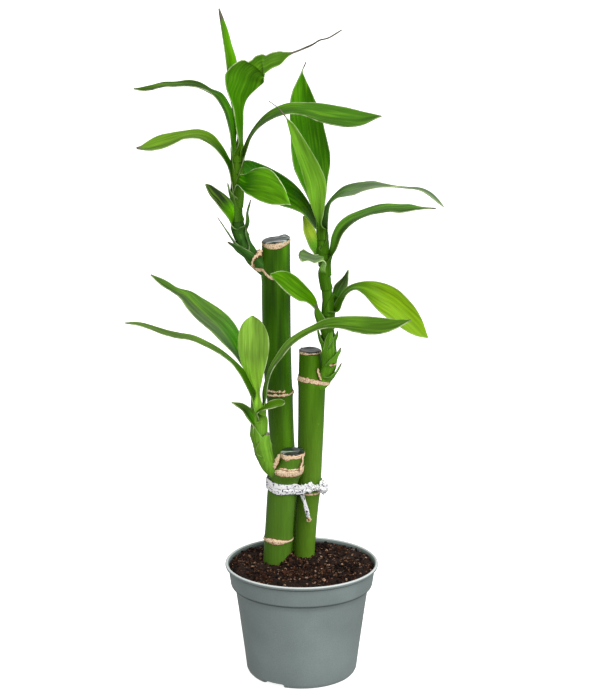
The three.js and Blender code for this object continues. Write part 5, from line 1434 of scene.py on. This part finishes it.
UPPER = leaf_material("leaf blade, waxy upper face", 0.4, "#7fb41c",
                      Roughness=0.36, IOR=1.42, Specular_IOR_Level=0.08)
UNDER = leaf_material("leaf blade, dull underside", 0.05, "#8fae5a",
                      Roughness=0.55, IOR=1.4, Specular_IOR_Level=0.06)
print("Leaf materials:", UPPER.name, "and", UNDER.name)


# %% Grow the leaves
def stem_green(shoot, height):
    """A shoot's own green at a height: it is brighter at its foot than among the leaves."""
    low, high = (shade_of(shoot[part]) for part in ("foot", "green"))
    start = shoot["axis"][0][2]
    return low + (high - low) * smooth(start + 18, start + 55, np.asarray(height))[..., None]


count = 0
for shoot_name, shoot in SHOOTS.items():
    roots = [leaf["root"] for leaf in shoot["leaves"]]
    for number, spec in enumerate(shoot["leaves"], 1):
        root = spec["root"]
        below = [other for other in roots if other < root]
        room = root - max(below) + 2 if below else SHEATH
        count += 1
        piece = bend_leaf(f"leaf_{shoot_name}_{number}_blade", dict(spec, foot=stem_green(shoot, root)),
                          shoot["stem"], count, sheath=float(np.clip(room, 5, 10)))
        wear(piece, node=f"leaf_{shoot_name}_{number}")
print("Leaves grown:", count)

# %% [markdown]
# The bracts are small leaves that never grew: short pointed scales, sunk into the stem at their foot,
# green below and dry grey brown at the tip. They use the leaf's rule with fewer rows.

# %% Grow the bracts
for shoot_name, shoot in SHOOTS.items():
    for number, spec in enumerate(shoot["bracts"], 1):
        side = bearing(spec["bearing"])
        rows = [[x, y, z, side[1] * half, -side[0] * half, 0] for x, y, z, half in spec["spine"]]
        green = stem_green(shoot, spec["root"] + 4)
        spec = dict(spec, rows=rows, foot=green, tone=green, curl=0.12, wave=0.15, dry=0.88, edge=0.4)
        piece = bend_leaf(f"bract_{shoot_name}_{number}", spec, shoot["stem"], 30 + number, sheath=4,
                          sunk=0.4, clasp=(1.7, 1.6), across=12, along=30)
        wear(piece)
for name, piece in stems.items():
    points = corners_of(piece)
    note(piece, "tone", stem_green(SHOOTS[name], points[:, 2]))
    note(piece, "grain", points[:, [0, 2, 1]] * (1.5, 1, 0.3))
    note(piece, "margin", np.full(len(points), 9.0))  # far from any margin
    wear(piece, UNDER, f"shoot_{name}")
print("Bracts:", sum(len(shoot["bracts"]) for shoot in SHOOTS.values()))

# %% [markdown]
# ## The foil tie
#
# The canes are held by a twist tie, a strip of kraft paper and aluminium foil on thin wire. It is drawn
# round all three like a rubber band and twisted tight at the front. Foil keeps every crease, so its pieces
# are cut fine, crumpled by noise and left with flat faces: each little face then mirrors another part of
# the room.

# %% Wrap the band
TIE_HEIGHT = 114
TIE_SLOPE = -0.13  # the band drops towards the right
TIE_WIDTH = 6.4
CLEAR = 0.55  # from the canes to the middle of the strip

circles = [cane_row(cane, TIE_HEIGHT) for cane in CANES.values()]
outline = []
for out in bearing(np.arange(0, 360, 4.5)):
    # the cane that reaches furthest to this side is the one that a tight string would touch
    x, y, _, radius = max(circles, key=lambda c: c[0] * out[0] + c[1] * out[1] + c[3])
    outline.append((x, y, 0) + (radius + CLEAR) * out)
ring = Line([*outline, outline[0]])
print("Length of the band in mm:", round(ring.length, 1))


def band_rule(u, v):
    way = ring.ahead(u)
    out = np.stack([way[:, 1], -way[:, 0], 0 * u], axis=-1)
    points = ring.at(u)
    flat = points[:, :2]
    pinch = bell(points[:, 0], 7, 7) * (points[:, 1] < 8)
    here = np.column_stack([flat, 3.1 * v])
    crumple = (0.05 + 0.5 * pinch) * (rough(here, 2.4, 1) + 0.4 * rough(here, 0.9, 2))
    edge = 0.45 * rough(np.column_stack([flat, np.round(v) * 5]), 2.4, 3)
    crease = 0.35 * bell(v, 0.46, 0.07) * (0.6 + rough(here, 5, 6))
    proud = 0.25 + 0.35 * np.cos(np.pi * (v - 0.5)) - crease + 0.5 * np.maximum(crumple, -0.3)
    points = points + out * proud[:, None]
    points[:, 2] += TIE_HEIGHT + TIE_SLOPE * (flat[:, 0] + 11) + 0.5 * np.sin(7 * u * 2 * np.pi)
    points[:, 2] += TIE_WIDTH * (1 - 0.5 * pinch) * (v - 0.5) + edge * smooth(0.2, 0.5, np.abs(v - 0.5))
    return points, {}


band = wrapped("foil_band", 260, 9, band_rule, closed=True)
face_out(band)
modify(band, "SOLIDIFY", thickness=0.25 * MM, offset=0)
print("Band:", sizes(band))


# %% A twisted ribbon and a crushed ball
def strand(name, points, radius, turns, start, seed, flat=0.55, rucked=1.0):
    """A crumpled ribbon that twists about a line: turns times, at start degrees."""
    route = Line(points)

    def rule(u, v):
        share, row, centre, ahead = route.by_row(v)
        side = carried((0, 0, 1), ahead)
        other = np.cross(ahead, side)
        spin = np.radians(start + 360 * turns * share)[:, None]
        wide = side * np.cos(spin) + other * np.sin(spin)
        thin = np.cross(ahead, wide)
        angle = 2 * np.pi * u
        size = np.interp(share, np.linspace(0, 1, len(radius)), radius)[row]
        around = wide[row] * np.cos(angle)[:, None] + thin[row] * (flat * np.sin(angle))[:, None]
        body = centre[row] + around * size[:, None]
        ruck = 1 + rucked * (0.5 * rough(body, 1, seed) + 0.25 * rough(body, 0.45, seed + 1))
        return centre[row] + around * (size * ruck)[:, None], {}

    piece = wrapped(name, 20, 56, rule, closed=True)
    face_out(piece)
    return piece


def crushed(name, place, radius, squeeze, seed):
    """A ball of crushed foil, squeezed along each axis."""
    bpy.ops.mesh.primitive_ico_sphere_add(subdivisions=4, radius=1)
    piece = added(name)
    shape = corners_of(piece, 1)
    ruck = 1 + 0.38 * rough(shape * 3, 1.6, seed) + 0.22 * rough(shape * 3, 0.7, seed + 1)
    move_corners(piece, shape * squeeze * (radius * ruck)[:, None] + place)
    return piece


print("Ready to twist and crush")

# %% Make the knot and the tails
foils = [
    band,
    strand("foil_twist_1", [(-0.5, 2.6, 113.8), (2.2, 3, 113), (5, 3.1, 114), (8, 3.5, 112), (11, 4, 113)],
           (1.1, 1.3, 1.8, 1.6, 1.9), 2.2, 0, 1),
    strand("foil_twist_2", [(-0.5, 2.8, 111.5), (2.2, 2.7, 112.8), (5, 2.6, 111), (8, 3.1, 113),
                            (11, 3.8, 111.2)], (1, 1.2, 1.7, 1.6, 1.9), 2.6, 90, 3),
    crushed("foil_knot", (12.3, 4.2, 112.2), 3.3, (0.95, 0.95, 1.15), 5),
    crushed("foil_crossing", (2.6, 2.5, 112.4), 1.8, (1, 0.8, 1.2), 8),
    strand("foil_tail_1", [(0.9, 1.6, 112.5), (1.3, 1.7, 107), (2.3, 2, 101.5), (3.4, 2.4, 96.5),
                           (3.9, 2.6, 93.8)], (1.3, 1.2, 1.15, 1.25, 1.2), 0.4, 80, 5, flat=0.3, rucked=0.35),
    strand("foil_tail_2", [(0.2, 1.9, 112), (0, 2.1, 108.5), (0.7, 2.3, 105), (1.6, 2.5, 101.5),
                           (2.4, 2.7, 98.6)], (1, 0.8, 0.7, 0.6, 0.4), 0.5, 70, 7, flat=0.35, rucked=0.4),
    crushed("foil_tail_end", (4.2, 2.8, 92.9), 1.35, (1, 0.8, 1.15), 12),
]
print("Foil pieces:", [piece.name for piece in foils])

# %% [markdown]
# At the cut end of the tail the foil has come off, and the kraft paper under it shows, tan with brown
# stains of soil.

# %% Material of the tie's paper
paper, tree = new_material("kraft paper, stained")
place = add(tree, "TexCoord")["Object"]
stains = add(tree, "TexNoise", {"Vector": place, "Scale": 1 / (1.6 * MM), "Detail": 3})["Fac"]
tan = add(tree, "ValToRGB", [stains], [(0.42, "#5c3a1f"), (0.5, "#b99a6c"), (0.6, "#e2d3b0")])["Color"]
surface(tree, Base_Color=tan, Roughness=0.9, Specular_IOR_Level=0.1)
print("Material:", paper.name)

# %% [markdown]
# Aluminium foil is a bare metal with a bright side. It has no colour of its own: it shows the white room
# in its flat places and the dark floor and canes in its creases. Its base colour is a light neutral, and in
# the creases it carries painted reflection and painted shade, near black with a trace of lilac. The tie's
# foil is dulled by its paper and by handling, so metallic is only 0.35, and the roughness is that of rolled
# foil.

# %% Material of the foil
foil, tree = new_material("aluminium foil, crumpled")
place = add(tree, "TexCoord")["Object"]
crumpled = {"Vector": place, "Scale": 1 / (1.3 * MM), "Detail": 4, "Distortion": 0.6}
creases = add(tree, "TexNoise", crumpled)["Fac"]
# painted reflection and painted shade: the creases are coloured near black, tinged lilac
silver = add(tree, "ValToRGB", [creases],
             [(0.355, "#2e2b38"), (0.405, "#aaa6ba"), (0.455, "#ffffff")])["Color"]
dull = add(tree, "MapRange", [creases, 0.35, 0.65, 0.5, 0.28])["Result"]
bump = add(tree, "Bump", {"Height": creases, "Strength": 0.5, "Distance": 0.25 * MM})["Normal"]
surface(tree, Base_Color=silver, Roughness=dull, Normal=bump, Metallic=0.35)
for piece in foils:
    piece.data.materials.append(paper if piece.name == "foil_tail_end" else foil)
    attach(piece, "root")
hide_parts("foil_tie")
print("Material:", foil.name)
